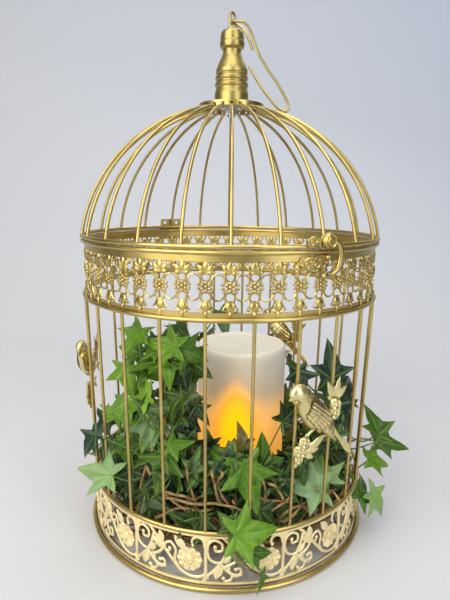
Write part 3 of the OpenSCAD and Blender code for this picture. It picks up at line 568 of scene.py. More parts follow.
def piece(name, slot, body, part, stands_for=(), attributes=None, smooth_angle=None, skin=None):
    """Makes the mesh in metres, closes its seams and poles, turns its faces outwards and puts it on its
    body."""
    p, f = part
    mesh = bpy.data.meshes.new(name)
    mesh.vertices.add(len(p))
    mesh.vertices.foreach_set("co", (p * MM).astype(np.float32).ravel())
    mesh.loops.add(f.size)
    mesh.loops.foreach_set("vertex_index", f.astype(np.int32).ravel())
    mesh.polygons.add(len(f))
    mesh.polygons.foreach_set("loop_start", np.arange(0, f.size, f.shape[1], dtype=np.int32))
    for key, values in (attributes or {}).items():
        mesh.attributes.new(key, "FLOAT", "POINT").data.foreach_set("value", values.astype(np.float32))
    mesh.update(calc_edges=True)
    mesh.validate()
    bm = bmesh.new()
    bm.from_mesh(mesh)
    bmesh.ops.remove_doubles(bm, verts=bm.verts, dist=2e-6)
    bmesh.ops.dissolve_degenerate(bm, edges=bm.edges, dist=1e-7)
    bmesh.ops.recalc_face_normals(bm, faces=bm.faces)
    bm.to_mesh(mesh)
    bm.free()
    mesh.shade_smooth()
    if smooth_angle:
        mesh.set_sharp_from_angle(angle=np.radians(smooth_angle))
    mesh.materials.append(material(skin or slot))
    obj = bpy.data.objects.new(name, mesh)
    bpy.context.scene.collection.objects.link(obj)
    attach(obj, body)
    if stands_for:
        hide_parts(*stands_for)
    return obj


# ---------------------------------------------------------------- upper band


HALF_MOTIF = 7.75  # half the width that a motif is drawn in
FLEUR = ((0, 8.2, 4.6), (-44, 7.4, 3.8), (44, 7.4, 3.8), (-80, 5.6, 2.6), (80, 5.6, 2.6))


def fleur(wire):
    """Five ridged petals (angle, length, width) fanned from a root 12 mm under the band's top, and a curl on
    each side."""
    parts = []
    for angle, length, width in FLEUR:
        petal = lens(length, width, 1.0, root=0.6, full=0.58, ridges=1, ridge=0.22, sides=10)
        parts.append(turn(petal, angle, (0, 0.1, -12.0)))
    for s in (-1, 1):
        curl = [(s * 2.6, -7.8), (s * 4.6, -8.2), (s * 6.2, -7.0), (s * 5.4, -5.6)]
        parts.append(flat_wire(curl, 0.6 * wire, 5, 3, ball=0.85))
    return join(parts)


def rosette(z, wire):
    """A dome with six buds round it, four smaller ones at each side, and half of the arches to the next
    motifs: a high one above the rosettes' line and a low one below it."""
    parts = [bead((0, 0.2, z), (1.5, 1.5, 1.5), 5, 8)]
    for angle in range(30, 390, 60):
        a = np.radians(angle)
        parts.append(bead((2.7 * np.cos(a), 0.2, z + 2.6 * np.sin(a)), (1.4, 1.25, 1.35), 5, 7))
    for s in (-1, 1):
        for x, up, size in ((4.7, 1.3, 1.15), (4.7, -1.3, 1.15), (3.6, -3.6, 1.15), (3.5, 3.7, 0.9)):
            parts.append(bead((s * x, 0.05, z + up), (size, 0.9 * size, size), 5, 6))
        high_arch = arc_points(s * HALF_MOTIF, -16.8, 4.2, 90, 90 + s * 112, 7)
        low_arch = arc_points(s * HALF_MOTIF, -24.8, 4.4, 270, 270 - s * 112, 7)
        parts += [flat_wire(arch, 0.55 * wire, 5, 2) for arch in (high_arch, low_arch)]
    return join(parts)


def bell(wire):
    """Three ridged petals that widen downwards to pointed corners, and a short leg to the belt ring."""
    parts = []
    for angle, length, x, width in ((160, 7.2, -0.9, 4.2), (180, 7.6, 0, 4.6), (200, 7.2, 0.9, 4.2)):
        petal = lens(length, width, 1.1, root=1.3, full=0.62, ridges=2, ridge=0.28, rows=8, sides=10)
        parts.append(turn(petal, angle, (x, 0.15, -29.2)))
    for s in (-1, 1):
        parts.append(flat_wire([(s * 1.8, -29.4), (s * 3.2, -32.6), (s * 5.0, -35.3)], 0.55 * wire, 5, 3))
        parts.append(flat_wire([(s * 0.4, -36.8), (s * 2.4, -35.8), (s * 5.0, -35.3)], 0.5 * wire, 5, 3))
    parts.append(bead((0, 0.6, -37.0), (1.5, 1.0, 1.3), 5, 8))
    parts.append(flat_wire([(0, -36.6), (0, -38.6), (0, -40.8)], 0.95, 6, 2, flat=0.7))
    return join(parts)


def filigree_motif(wire):
    """One motif over the belt ring, heights counted down from the band's top: a fleur, a ringed hole, a
    rosette, a second ringed hole and a bell."""
    holes = [hoop(0, z, radius, 0.55 * wire, 6) for z, radius in ((-14.0, 3.0), (-27.2, 3.3))]
    return join([fleur(wire), *holes, rosette(-20.3, wire), bell(wire)])


class CAGE_OT_upper_band(bpy.types.Operator):
    """Pierced upper band: a plain strip with a row of cast filigree motifs below it"""

    bl_idname = "cage.upper_band"
    bl_label = "Upper band"

    def execute(self, context):
        back = WALL_R - 1.0
        strip = turned([(back, -4.8), (back + 0.5, -5.1), (WALL_R, -4.7), (WALL_R, 0), (back, 0),
                        (back, -4.8)], 192)
        count = sizes().motifs
        p, f = wrap(filigree_motif(sizes().wire / MM), WALL_R - 0.55, 360 / count * np.arange(count))
        # the legs stand 0.9 mm further out, in front of the belt's inner flange
        leg = np.clip((-36.0 - p[:, 2]) / 2, 0, 1)
        p[:, :2] *= (1 + 0.9 * leg / np.linalg.norm(p[:, :2], axis=1))[:, None]
        p, f = join([strip, (p, f)])
        band = p + UPPER_TOP * UP, f
        piece("upper_band_filigree", "gold_satin", "root", band, ("upper_band",), smooth_angle=50)
        return {"FINISHED"}


# ---------------------------------------------------------------- lower band


FIRST_DAISY = -43  # azimuth of the daisy left of the latch
EDGE_STRIP = 1.4  # height of the plain strip along each edge of the stamped band
SCROLL_WIDTH = 57.0  # width that one repeat of the stamped band is drawn in
SCROLL_LEAVES = (  # root (x, z), angle, length and width
    (-3.5, 30.5, -42, 12.5, 5.4), (-19.0, 28.0, -62, 12.5, 6.0), (-21.5, 32.0, -12, 9.5, 4.4),
    (22.0, 20.5, 196, 12.0, 6.2), (9.5, 12.5, 128, 6.0, 3.2), (24.5, 22.5, 40, 8.5, 4.2),
)
LONG_STEMS = (
    [(-33.5, 43.0), (-27.5, 37.0), (-20.0, 28.0), (-12.5, 19.0), (-6.0, 12.3), (1.5, 9.4), (7.5, 9.8),
     (11.5, 12.6)],
    [(28.0, 36.5), (25.8, 28.5), (22.3, 21.5), (16.5, 14.6), (11.5, 9.5), (10.0, 5.9)],
    [(22.5, 21.0), (27.5, 15.5), (32.0, 12.6), (37.5, 12.8)],
    [(-20.0, 28.0), (-24.5, 22.5), (-30.5, 19.2), (-36.0, 15.2)],
)
CURLS = (
    [(-8.5, 14.8), (-11.5, 20.5), (-10.6, 28.0), (-14.5, 33.4), (-19.2, 31.0), (-18.9, 26.6), (-15.9, 26.2),
     (-15.3, 28.4)],
    [(-28.5, 19.9), (-27.8, 14.6), (-23.6, 11.4), (-19.6, 13.6), (-20.4, 17.6), (-23.4, 17.2)],
    [(12.4, 30.0), (13.6, 36.4), (17.6, 39.8), (23.0, 37.4), (23.2, 32.2), (18.9, 31.4), (18.4, 34.6)],
    [(11.0, 34.0), (9.6, 39.4), (4.8, 41.2), (1.8, 38.0), (2.6, 34.6)],
    [(12.6, 30.4), (14.6, 24.6), (19.6, 22.0), (23.0, 22.6)],
    [(31.0, 12.4), (29.4, 8.6), (26.0, 7.6), (24.4, 10.0)],
)


def daisy(x, z, radius, petals):
    """A flat daisy: scalloped petals on a plate, round a domed disc with a raised ring."""
    rim = 0.76 * radius
    plate = turned([(0.01, 0.0), (rim, 0.0), (rim, 0.3), (0.7 * radius, 0.4), (0.01, 0.4)], 40)
    parts = [laid(plate, x, z)]
    for k in range(petals):
        angle = 360 * (k + 0.5) / petals
        a = np.radians(angle)
        petal = lens(0.78 * radius, 0.52 * radius, 0.95, root=0.6, full=0.8, ridges=1, ridge=0.3)
        parts.append(turn(petal, angle, (x + 0.25 * radius * np.sin(a), 0.35, z + 0.25 * radius * np.cos(a))))
    disc = [(0.01, 0.0), (3.4, 0.0), (3.4, 0.9), (2.6, 1.35), (2.0, 1.0), (1.2, 1.45), (0.01, 1.6)]
    return join([*parts, laid(turned(disc, 20), x, z)])


def scroll_unit(petals):
    """One repeat of the stamped band from the floor up: a daisy, pointed leaves with a midrib, long S stems,
    tight curls that end in a ball, and an upright post with a forked top."""
    parts = [daisy(0, 23.5, 9.3, petals)]
    for x, z, angle, length, width in SCROLL_LEAVES:
        leaf = lens(length, width, 0.8, root=0.7, full=0.45, ridges=1, ridge=0.3, rows=10)
        parts.append(turn(leaf, angle, (x, 0.15, z)))
    parts += [flat_wire(stem, 1.15, flat=0.65) for stem in LONG_STEMS]
    parts += [flat_wire(curl, 1.05, flat=0.65, ball=1.5) for curl in CURLS]
    parts.append(flat_wire([(11.5, 43.2), (11.6, 32.0), (11.6, 18.0), (11.4, 5.8)], 1.3))
    parts.append(turn(lens(8.5, 7.6, 0.7, root=1.0, full=0.75), 0, (11.5, 0.0, 34.6)))
    return join(parts)


class CAGE_OT_lower_band(bpy.types.Operator):
    """Stamped lower band: daisies, leaves and S scrolls between the foot ring and the base ring"""

    bl_idname = "cage.lower_band"
    bl_label = "Lower band"

    def execute(self, context):
        z0, z1 = low("lower_band", 2), high("lower_band", 2)
        count = sizes().daisies
        p, f = scroll_unit(sizes().petals)
        p[:, 0] *= 2 * np.pi * SCROLL_R / count / SCROLL_WIDTH
        p[:, 2] = np.clip(p[:, 2], z0 + 0.1, z1 - 0.1)
        parts = [wrap((p, f), SCROLL_R - 0.9, FIRST_DAISY + 360 / count * np.arange(count))]
        back = SCROLL_R - 1.0
        for z in (z0, z1 - EDGE_STRIP):
            top = z + EDGE_STRIP
            parts.append(turned([(back, z), (SCROLL_R, z), (SCROLL_R, top), (back, top), (back, z)], 192))
        piece("lower_band_scrolls", "pale_gold", "root", join(parts), ("lower_band",), smooth_angle=50)
        return {"FINISHED"}


# ---------------------------------------------------------------- birds


PERCH_Z = 122.0  # height that the birds perch at
BIRD_Y = 8.0  # from the bars' face out to the middle of a bird
BODY_SIDES = 36
BODY_LINE = [(-24.6, 24.0), (-22.6, 26.2), (-19.6, 27.0), (-16.0, 25.0), (-12.9, 20.6), (-9.6, 15.6),
             (-4.8, 10.4), (1.0, 5.4), (6.4, -0.4), (11.0, -6.8), (15.0, -13.0)]  # (along, up), beak to tail
BODY_GIRTH = [1.4, 5.4, 7.2, 7.2, 7.4, 8.8, 9.6, 8.4, 5.8, 3.0, 1.2]  # radius at each point of the line
# feathers in a row, their length and width, and how far the row is lifted
WING_ROWS = ((5, 6.0, 3.4, 1.2), (6, 8.5, 3.2, 0.9), (6, 13.0, 3.0, 0.5), (6, 20.5, 2.8, 0.15))
ALONG = np.array([1.0, 0.0, 0.0])


def feathered_body():
    """A perched songbird's body: a tube along its line whose radius swells at the breast, with rows of
    scalloped feathers over its back, 0.35 mm * a saw tooth along a row * |cos| across it. Gives the painted
    shade of the hollows between them, and the line and radius that the wings lie on."""
    line = smooth(BODY_LINE, 8)
    girth = smooth(np.array(BODY_GIRTH)[:, None], 8)[:, 0]
    path = upright(line)
    p, f = tube(path, girth, BODY_SIDES, ref=OUT, flat=0.92)
    rings = len(p) // BODY_SIDES
    u = np.repeat(np.arange(rings), BODY_SIDES) / 2.6
    v = np.tile(np.arange(BODY_SIDES), rings) / BODY_SIDES
    row = np.floor(u)
    scallop = (u - row) * np.abs(np.cos(np.pi * (12 * v + 0.5 * (row % 2))))
    centre = np.concatenate([path[:1], path[:1], path, path[-1:], path[-1:]])
    out = p - np.repeat(centre, BODY_SIDES, 0)
    share = np.repeat(np.concatenate([[0, 0], np.linspace(0, 1, len(path)), [1, 1]]), BODY_SIDES)
    behind_head = np.clip((share - 0.18) * 4, 0, 1)
    feathered = behind_head * np.clip(out @ np.array([0.75, 0.0, 0.66]) / 4 + 0.6, 0, 1)
    # painted shade, darkest in the groove at the start of each row of feathers
    hollow_shade = 0.8 * feathered * (1 - np.clip(1.6 * scallop, 0, 1))
    p = p + unit(out) * (0.35 * scallop * feathered)[:, None]
    return (p + BIRD_Y * OUT, f), hollow_shade, line, girth


def wing(side, line, girth):
    """A folded wing: overlapping rows of ridged lenses fanned from the shoulder and laid on the body. A point
    d from the body's line moves out by 0.92 * sqrt(girth ** 2 - d ** 2)."""
    parts = []
    for row, (count, length, width, lift) in enumerate(WING_ROWS):
        for u in np.arange(count) / (count - 1):
            feather = lens(length * (1 - 0.16 * u), width, 0.9, root=0.8, full=0.66, ridges=1, ridge=0.3)
            shoulder = (-11.0 + 1.8 * row - 4.0 * u, lift, 22.0 - 8.0 * u - 1.6 * row)
            parts.append(turn(feather, 124 + 20 * u, shoulder))
    p, f = join(parts)
    d = np.linalg.norm(p[:, None, [0, 2]] - line[None], axis=2)
    near = d.argmin(1)
    out = 0.92 * np.sqrt(np.clip(girth[near] ** 2 - d.min(1) ** 2, 1.5, None))
    return np.stack([p[:, 0], BIRD_Y + side * (out + p[:, 1] - 0.2), p[:, 2]], -1), f


def lens_edge_shade(count):
    """Painted shade along the edges of 12-sided lenses: 1 at their edges, 0 on their middles, |cos a| to the 4th
    power.
    """
    return np.resize(np.abs(np.cos(np.linspace(0, 2 * np.pi, 12, endpoint=False))) ** 4, count)


def beak_eyes_tail_legs():
    """The rest of the bird: a conical beak, ringed eyes, five long tail feathers and two legs."""
    beak = [(-23.4, BIRD_Y, 26.2), (-25.3, BIRD_Y, 25.2), (-26.9, BIRD_Y, 23.8)]
    parts = [tube(beak, [1.5, 0.95, 0.25], 8, ref=OUT, flat=0.8)]
    for s in (-1, 1):
        parts.append(bead((-20.3, BIRD_Y + s * 5.2, 27.8), (1.2, 0.8, 1.2), 6, 10))
        parts.append(hoop(-20.3, 27.8, 1.7, 0.35, 5, BIRD_Y + s * 5.2))
    for k in range(-2, 3):
        feather = lens(34.0 - 1.5 * abs(k), 3.2, 0.9, root=1.4, full=0.8, ridges=1, ridge=0.3, rows=12)
        parts.append(turn(feather, 139 + 2.2 * k, (8.0 + 0.7 * k, BIRD_Y + 1.4 + 0.4 * abs(k), -0.6)))
    for s in (-1, 1):
        leg = [(0.5 + s, BIRD_Y - 1 + 1.5 * s, 3), (0.2 + s, BIRD_Y - 3.5, 0.4), (0.5 + s, 2.6, -1.0)]
        parts.append(tube(leg, 0.75, 6, ref=ALONG))
    return join(parts)


def rose(x, out, z, size):
    """A small rose: a spiral of overlapping cupped petals round a bud."""
    parts = [bead((x, out + 0.5 * size, z), (0.42 * size, 0.5 * size, 0.42 * size), 6, 10)]
    cupped = dict(root=0.2 * size, full=0.6, crown=0.2 * size, rows=7, sides=10)
    for ring, (count, reach, lift) in enumerate(((4, 0.42, 0.5), (5, 0.72, 0.2))):
        for k in range(count):
            angle = 360 * (k + 0.4 * ring) / count
            a, r = np.radians(angle), reach * 0.3 * size
            petal = lens(0.95 * size, 1.05 * size, 0.22 * size, **cupped)
            parts.append(turn(petal, angle, (x + r * np.sin(a), out + lift * size, z + r * np.cos(a))))
    return join(parts)


def sprig(x, out, z, leaves):
    """Pointed leaves with a midrib on a sprig: (angle, length, width) each."""
    parts = []
    for angle, length, width in leaves:
        leaf = lens(length, width, 0.7, root=0.4, full=0.42, ridges=1, ridge=0.2, crown=0.5)
        parts.append(turn(leaf, angle, (x, out, z)))
    return join(parts)


def twig(wall):
    """A twig from the left bar up under the feet and on to the right bar, a branch of it, an upright one on
    the right bar, and their roses and leaves."""
    main = smooth([(-wall, 0.6, -28), (-12.6, 1.2, -18), (-9, 1.8, -9), (-3, 2.2, -3.4), (3, 2.4, -1.0),
                   (9, 2.0, 0.4), (wall, 0.6, 2.0)], 5)
    branch = smooth([(-12.6, 1.2, -18), (-5, 2.4, -14), (4, 2.6, -11), (11, 2.6, -9.5)], 4)
    shoot = smooth([(wall, 0.9, -4), (wall - 0.5, 1.6, 8), (wall, 1.4, 24)], 5)
    parts = [tube(main, 1.25 + 0.2 * np.sin(np.arange(len(main)) * 1.7), 7, ref=OUT),
             tube(branch, 0.85, 6, ref=OUT), tube(shoot, 0.9, 6, ref=OUT)]
    for place_and_size in ((-10.5, 2.8, -10.5, 4.4), (-14.6, 2.0, -16.0, 4.2), (-11.0, 2.8, -17.5, 3.6),
                           (-14.2, 2.0, -22.5, 3.2), (wall, 3.0, 12.5, 4.6), (wall - 0.4, 3.2, 6.0, 4.4),
                           (wall + 2.6, 2.6, 9.0, 3.0)):
        parts.append(rose(*place_and_size))
    parts.append(sprig(-5.5, 2.6, -17.5, ((58, 17.0, 5.6), (96, 9.0, 4.2))))
    parts.append(sprig(-8, 2.4, -20, ((64, 8.0, 4.0), (122, 8.0, 4.0), (-40, 6.0, 3.4))))
    above = ((-24, 16.0, 5.4), (16, 17.0, 5.0), (54, 14.0, 5.4), (-64, 7.0, 3.6))
    parts.append(sprig(wall, 2.0, 15.5, above))
    return join(parts)


def bird_pattern(wall):
    """The whole casting in wall coordinates (along, out from the bars, up from the perch), and the painted
    shade of its hollows; wall is how far the bars stand either side. It faces -along."""
    body, groove_shade, line, girth = feathered_body()
    wings = [wing(side, line, girth) for side in (1, -1)]
    p, f = join([body, *wings, beak_eyes_tail_legs(), twig(wall)])
    hollow_shade = np.zeros(len(p))
    hollow_shade[: len(groove_shade)] = groove_shade
    # painted shade along the edges of the wing feathers
    hollow_shade[len(groove_shade) :][: 2 * len(wings[0][0])] = lens_edge_shade(2 * len(wings[0][0]))
    return p, f, hollow_shade


class CAGE_OT_birds(bpy.types.Operator):
    """Three cast songbirds, each on a twig with roses that is soldered to two bars"""

    bl_idname = "cage.birds"
    bl_label = "Birds"

    def execute(self, context):
        bars = (high("foot_ring", 0) + high("rim_ring", 0)) / 2 - 1.6
        pattern, faces, hollow_shade = bird_pattern(bars * np.sin(np.radians(7.5)))
        out, z = bars + 0.8 + 0.68 * pattern[:, 1], pattern[:, 2] + PERCH_Z
        for name, azimuth, facing in (("bird_front", 0, 1), ("bird_right", 120, -1), ("bird_left", -120, -1)):
            a = np.radians(azimuth)
            x = pattern[:, 0] * facing
            p = np.stack([x * np.cos(a) + out * np.sin(a), x * np.sin(a) - out * np.cos(a), z], -1)
            piece(name + "_cast", "gold_satin", "root", (p, faces), (name,), {"hollow_shade": hollow_shade},
                  smooth_angle=55, skin="gold_cast")
        return {"FINISHED"}


# ---------------------------------------------------------------- latch


PLATE_CURLS = (  # (along, up) from the latch's pivot
    [(-5.0, -3.6), (-7.6, 0.4), (-10.6, 2.4), (-14.0, 1.0), (-14.6, -1.8), (-12.2, -3.0), (-10.8, -1.2),
     (-12.2, -0.2)],
    [(4.8, -2.6), (4.6, 1.4), (1.4, 4.2), (-2.6, 3.8), (-5.2, 1.8), (-4.4, -0.4), (-6.4, -0.6)],
)
PLATE_BUDS = ((-8.4, -0.8), (1.0, 4.4), (-14.8, 0.6))
CATCH_CURLS = (  # (along, up) from the upper band's top
    [(-3.4, -4.8), (-7.4, -2.6), (-12.2, -3.0), (-16.0, -5.6), (-15.4, -9.0), (-12.0, -9.4), (-11.2, -6.8),
     (-13.0, -6.2)],
    [(-2.8, -7.6), (-5.6, -9.4), (-8.8, -8.0), (-8.2, -5.2), (-5.8, -5.8), (-6.4, -7.2)],
)
CATCH_BUDS = ((-3.0, -3.8), (-9.8, -5.2), (-16.2, -7.2), (-6.6, -3.0))
HOOK_ARM = [(0, 0.6), (4.0, 0.2), (7.5, -1.8), (9.6, -6.0), (9.9, -11.0), (8.9, -15.6), (6.8, -19.0),
            (3.6, -21.5), (-0.2, -22.6), (-3.4, -22.2)]  # (along, up) from the latch's pivot
BOSS = [(1.5, -1.7), (5.0, -1.7), (5.2, -0.4), (4.7, 0.2), (4.9, 1.0), (4.2, 1.9), (3.3, 1.5), (3.0, 2.2),
        (1.5, 2.6), (1.5, -1.7)]  # (radius, out from the arm's middle)


def forged_hook(y, pivot_z):
    """A flattened round arm that tapers to its ball, girth 2.0 - 0.55 s ** 2 + 0.25 sin(pi s), and a stepped
    boss round the pivot."""
    arm = smooth(HOOK_ARM, 5) + [0, pivot_z]
    path = upright(arm, y)
    s = np.linspace(0, 1, len(path))
    girth = 2.0 - 0.55 * s**2 + 0.25 * np.sin(np.pi * s)
    ball = bead(path[-1], (2.15, 1.7, 2.15), 9, 14)
    p, f = turned(BOSS, 32)
    boss = np.stack([p[:, 0], y - p[:, 2], p[:, 1] + pivot_z], -1), f
    return join([tube(path, girth, 14, ref=OUT, flat=0.76), ball, boss])


def raised_scrolls(curls, buds, height):
    """Curls that end in a ball, and beads, in (along, up) from a height."""
    parts = [flat_wire([(x, z + height) for x, z in curl], 0.8, 7, 5, ball=1.15) for curl in curls]
    return join(parts + [bead((x, 0, z + height), (1.3, 1.0, 1.3), 6, 9) for x, z in buds])


class CAGE_OT_latch(bpy.types.Operator):
    """Latch: two scroll-edged plates, a forged J hook with a stepped boss, and the ball it closes over"""

    bl_idname = "cage.latch"
    bl_label = "Latch"

    def execute(self, context):
        pivot_z = [j for j in frame["joints"] if j["name"] == "latch_swing"][0]["pos_m"][2] / MM
        hook = forged_hook(high("latch_hook", 1) - 1.7, pivot_z)
        piece("latch_hook_forged", "gold_satin", "latch", hook, ("latch_hook",), smooth_angle=50)
        plate_r, catch_r = -low("latch_plate", 1) - 0.1, WALL_R + 1.45
        scrolls = wrap(raised_scrolls(PLATE_CURLS, PLATE_BUDS, pivot_z), plate_r, [0])
        piece("latch_plate_scrolls", "gold_satin", "lid", scrolls, smooth_angle=50)
        scrolls = wrap(raised_scrolls(CATCH_CURLS, CATCH_BUDS, UPPER_TOP), catch_r, [0])
        piece("catch_plate_scrolls", "gold_satin", "root", scrolls, smooth_angle=50)
        return {"FINISHED"}


# ---------------------------------------------------------------- candle


def lamp_glow(a, reach, z, r):
    """Painted light of the lamp through the wax at an angle, a reach from the candle's axis and a height: a wide
    ember that fades upwards, 0.45 / (1 + exp), and a drop-shaped flame, 0.66 / (1 + exp), painted so that it is
    seen from each of three sides."""
    heart = 0.55 * low("candle_flame", 2) + 0.45 * high("candle_flame", 2)
    ember = 0.45 / (1 + np.exp((z - heart - 27) / 9))
    facing = (np.degrees(a) + 90 + 37 + 60) % 120 - 60
    side = np.radians(facing) * r
    rise = (z - heart) / np.where(z > heart, 44, 40)
    width = 17.0 * (1 - 0.2 * np.clip(rise, 0, 1))
    drop = 1 / (1 + np.exp((np.hypot(side / width, rise) - 0.78) * 4.6))
    return np.clip(ember + 0.66 * drop, 0, 1) * (reach > r - 1.5)


class CAGE_OT_candle(bpy.types.Operator):
    """Candle: a wax wall with a melted rim and dished top, and the lit flame painted on it where it would show
    through
    """

    bl_idname = "cage.candle"
    bl_label = "Candle"

    def execute(self, context):
        cx, cy = middle("candle_shell", 0), middle("candle_shell", 1)
        z0, z1 = low("candle_shell", 2), high("candle_shell", 2)
        r = high("candle_shell", 0) - cx
        edge = smooth([(r - 4, z0), (r - 4, z1 - 19), (r - 20, z1 - 13), (4, z1 - 13.5)], 5)
        top = smooth([(4, z1 - 2.6), (r - 22, z1 - 2.4), (r - 10, z1 - 1.7), (r - 6, z1 - 0.7), (r - 3, z1),
                      (r - 1, z1 - 0.8), (r, z1 - 3)], 5)
        wall = [(r, z) for z in np.linspace(z1 - 8, z0 + 1.5, 48)]
        profile = np.concatenate([[(0.01, z1 - 13.5)], edge[::-1], [(r - 1.2, z0)], wall[::-1], top[::-1],
                                  [(0.01, z1 - 2.6)]])
        p, f = turned(profile, 96, (cx, cy))
        a = np.arctan2(p[:, 1] - cy, p[:, 0] - cx)
        # melted rim: two and five low waves round it, never proud of the wall
        melt = np.clip((p[:, 2] - z1 + 9) / 9, 0, 1)
        p[:, 2] -= melt * (0.5 + 0.35 * np.sin(2 * a + 0.7) + 0.25 * np.sin(5 * a))
        # painted light: the lamp's glow through the wall, stored on the wax's points
        glow = lamp_glow(a, np.hypot(p[:, 0] - cx, p[:, 1] - cy), p[:, 2], r)
        piece("candle_wax", "ivory_wax", "candle", (p, f), ("candle_shell",), {"glow": glow}, smooth_angle=60)
        return {"FINISHED"}


# ---------------------------------------------------------------- garland


# climbing stems: (azimuth, radius, height) along each, from the ring on the floor
STEMS = [
    [(-78, 90, 18), (-74, 98, 30), (-70, 104, 52), (-66, 104, 76), (-62, 100, 100), (-60, 96, 124),
     (-58, 96, 146), (-56, 98, 164)],
    [(-60, 88, 20), (-52, 92, 34), (-47, 94, 60), (-47, 88, 88), (-50, 82, 112), (-50, 78, 128)],
    [(-20, 84, 18), (-24, 90, 30), (-26, 92, 48), (-26, 88, 70)],
    [(-34, 90, 22), (-32, 98, 36), (-30, 106, 50), (-30, 114, 54), (-29.5, 121, 50), (-28, 124, 38),
     (-24, 124.5, 26), (-19, 125, 18)],
    [(8, 88, 20), (8, 94, 32), (6, 98, 52), (8, 98, 66)],
    [(18, 91, 22), (17, 98, 36), (15.5, 106, 52), (15, 114, 56), (15, 120, 52)],
    [(38, 88, 20), (40, 94, 36), (38, 98, 62), (32, 96, 90), (26, 96, 116)],
    [(66, 88, 20), (62, 96, 32), (60, 106, 50), (60, 116, 58), (60, 124, 60), (60, 134, 58)],
    [(104, 88, 20), (98, 96, 36), (94, 98, 62), (92, 98, 80)],
    [(160, 86, 20), (164, 84, 40), (168, 80, 72), (172, 74, 104), (174, 70, 132)],
    [(-152, 86, 20), (-146, 94, 36), (-146, 94, 66), (-148, 94, 96)],
    [(-112, 88, 20), (-108, 96, 30), (-105, 106, 44), (-105, 116, 56), (-105, 124, 60)],
    [(182, 88, 20), (181, 98, 36), (180, 108, 56), (180, 118, 66), (180, 123, 70)],
]
# loops of bare stem just behind the front bars: (azimuth, radius, height) along each
LOOPS = [
    [(-55, 106, 60), (-42, 106, 60), (-32, 104, 60), (-24, 106, 56)],
    [(-20, 104, 66), (-12, 104, 60), (-4, 102, 55)],
    [(-24, 108, 50), (-16, 106, 50), (-4, 106, 62)], [(-36, 107, 86), (-35, 105, 76), (-33, 105, 62)],
    [(-32, 105, 84), (-34, 103, 75), (-30, 103, 60)], [(-17, 105, 80), (-15, 105, 68), (-15, 103, 56)],
    [(-13, 106, 75), (-9, 104, 67), (-7, 106, 57)], [(-60, 107, 66), (-50, 107, 65), (-43, 105, 63)],
    [(-46, 105, 86), (-45, 104, 72), (-42, 103, 58)], [(-60, 106, 40), (-50, 104, 52), (-38, 104, 54)],
    [(-7, 108, 44), (5, 106, 52), (26, 106, 45)], [(-64, 106, 80), (-58, 104, 64), (-47, 104, 52)],
]
# azimuth in degrees, radius, height and length in mm; heading is where the tip points in the leaf's own
# plane, 180 hanging down; tilt leans it back; tone is its place on the green ramp; turned is from its azimuth
Leaf = namedtuple("Leaf", "azimuth radius height length heading tilt tone turned")
# leaves with a place of their own
SINGLE_LEAVES = [
    (-55, 104, 175, 28, -80, 25, 0.66, 20), (-62, 104, 160, 27, -95, 65, 0.55, 30),
    (-50, 96, 155, 27, 165, 20, 0.2, 40), (-57, 100, 124, 25, 80, 60, 1.0, 25),
    (-63, 104, 107, 32, -175, 15, 0.9, 40), (-82, 131, 95, 24, -150, 30, 0.15, 20),
    (-78, 128, 73, 32, -85, 50, 0.88, 35), (-97, 112, 92, 28, -140, 20, 0.1, 30),
    (-54, 100, 74, 38, 160, 20, 0.12, 30), (-46, 98, 169, 25, 115, 15, 0.5, 25),
    (-47, 92, 130, 22, 170, 20, 0.97, 35), (-31, 96, 90, 28, -65, 35, 0.5, -10),
    (-23, 88, 101, 21, 12, 10, 0.99, 35), (-14, 92, 89, 28, 8, 20, 0.5, -5),
    (-22, 106, 79, 38, 168, 20, 0.56, 0), (-23, 127, 53, 34, 88, 25, 0.66, 0),
    (-26, 124, 34, 19, -176, 5, 0.87, -5), (-30, 118, 55, 17, -50, 35, 0.45, -10),
    (-20, 125, 36, 17, 98, 30, 0.5, 0), (-19, 129, 16, 16, -164, 10, 0.56, 50),
    (5, 106, 64, 34, -80, 40, 0.9, -25), (18, 102, 65, 26, -20, 35, 0.86, -35),
    (38, 123, 38, 32, 62, 35, 0.5, -30), (38, 135, 30, 28, 150, 30, 0.85, -30),
    (30, 132, 105, 27, 8, 30, 0.44, -25), (44, 140, 76, 29, 97, 60, 0.44, -75),
    (51, 134, 50, 29, 112, 45, 0.7, -50), (37, 104, 126, 33, 72, 20, 0.08, -45),
    (25, 98, 148, 31, 4, 5, 0.1, -45), (30, 106, 107, 33, 150, 20, 0.08, -30),
    (180, 127, 58, 30, 180, 16, 0.7, 0),
]
# sprays: first and last azimuth, radius, lowest and highest, number of leaves, shortest and longest, darkest
# and palest tone
SPRAYS = [
    (-78, -48, 104, 116, 176, 11, 20, 28, 0.38, 0.76), (-88, -50, 103, 78, 118, 10, 20, 30, 0.36, 0.74),
    (-94, -58, 107, 40, 74, 8, 20, 29, 0.2, 0.46), (-58, -44, 90, 90, 172, 8, 19, 27, 0.14, 0.44),
    (-50, -32, 92, 58, 88, 9, 17, 24, 0.12, 0.32), (-30, 8, 96, 58, 88, 9, 20, 26, 0.18, 0.5),
    (-48, -4, 108, 44, 52, 5, 19, 23, 0.24, 0.36), (4, 58, 100, 58, 104, 9, 22, 29, 0.2, 0.5),
    (2, 24, 93, 104, 142, 4, 21, 25, 0.1, 0.3), (98, 222, 78, 112, 152, 8, 24, 34, 0.15, 0.45),
    (86, 252, 99, 34, 96, 15, 30, 37, 0.12, 0.7),
]
# azimuths of each group; the rest is back
SIDES = (("left", -110, -48), ("front", -48, 12), ("right", 12, 80))
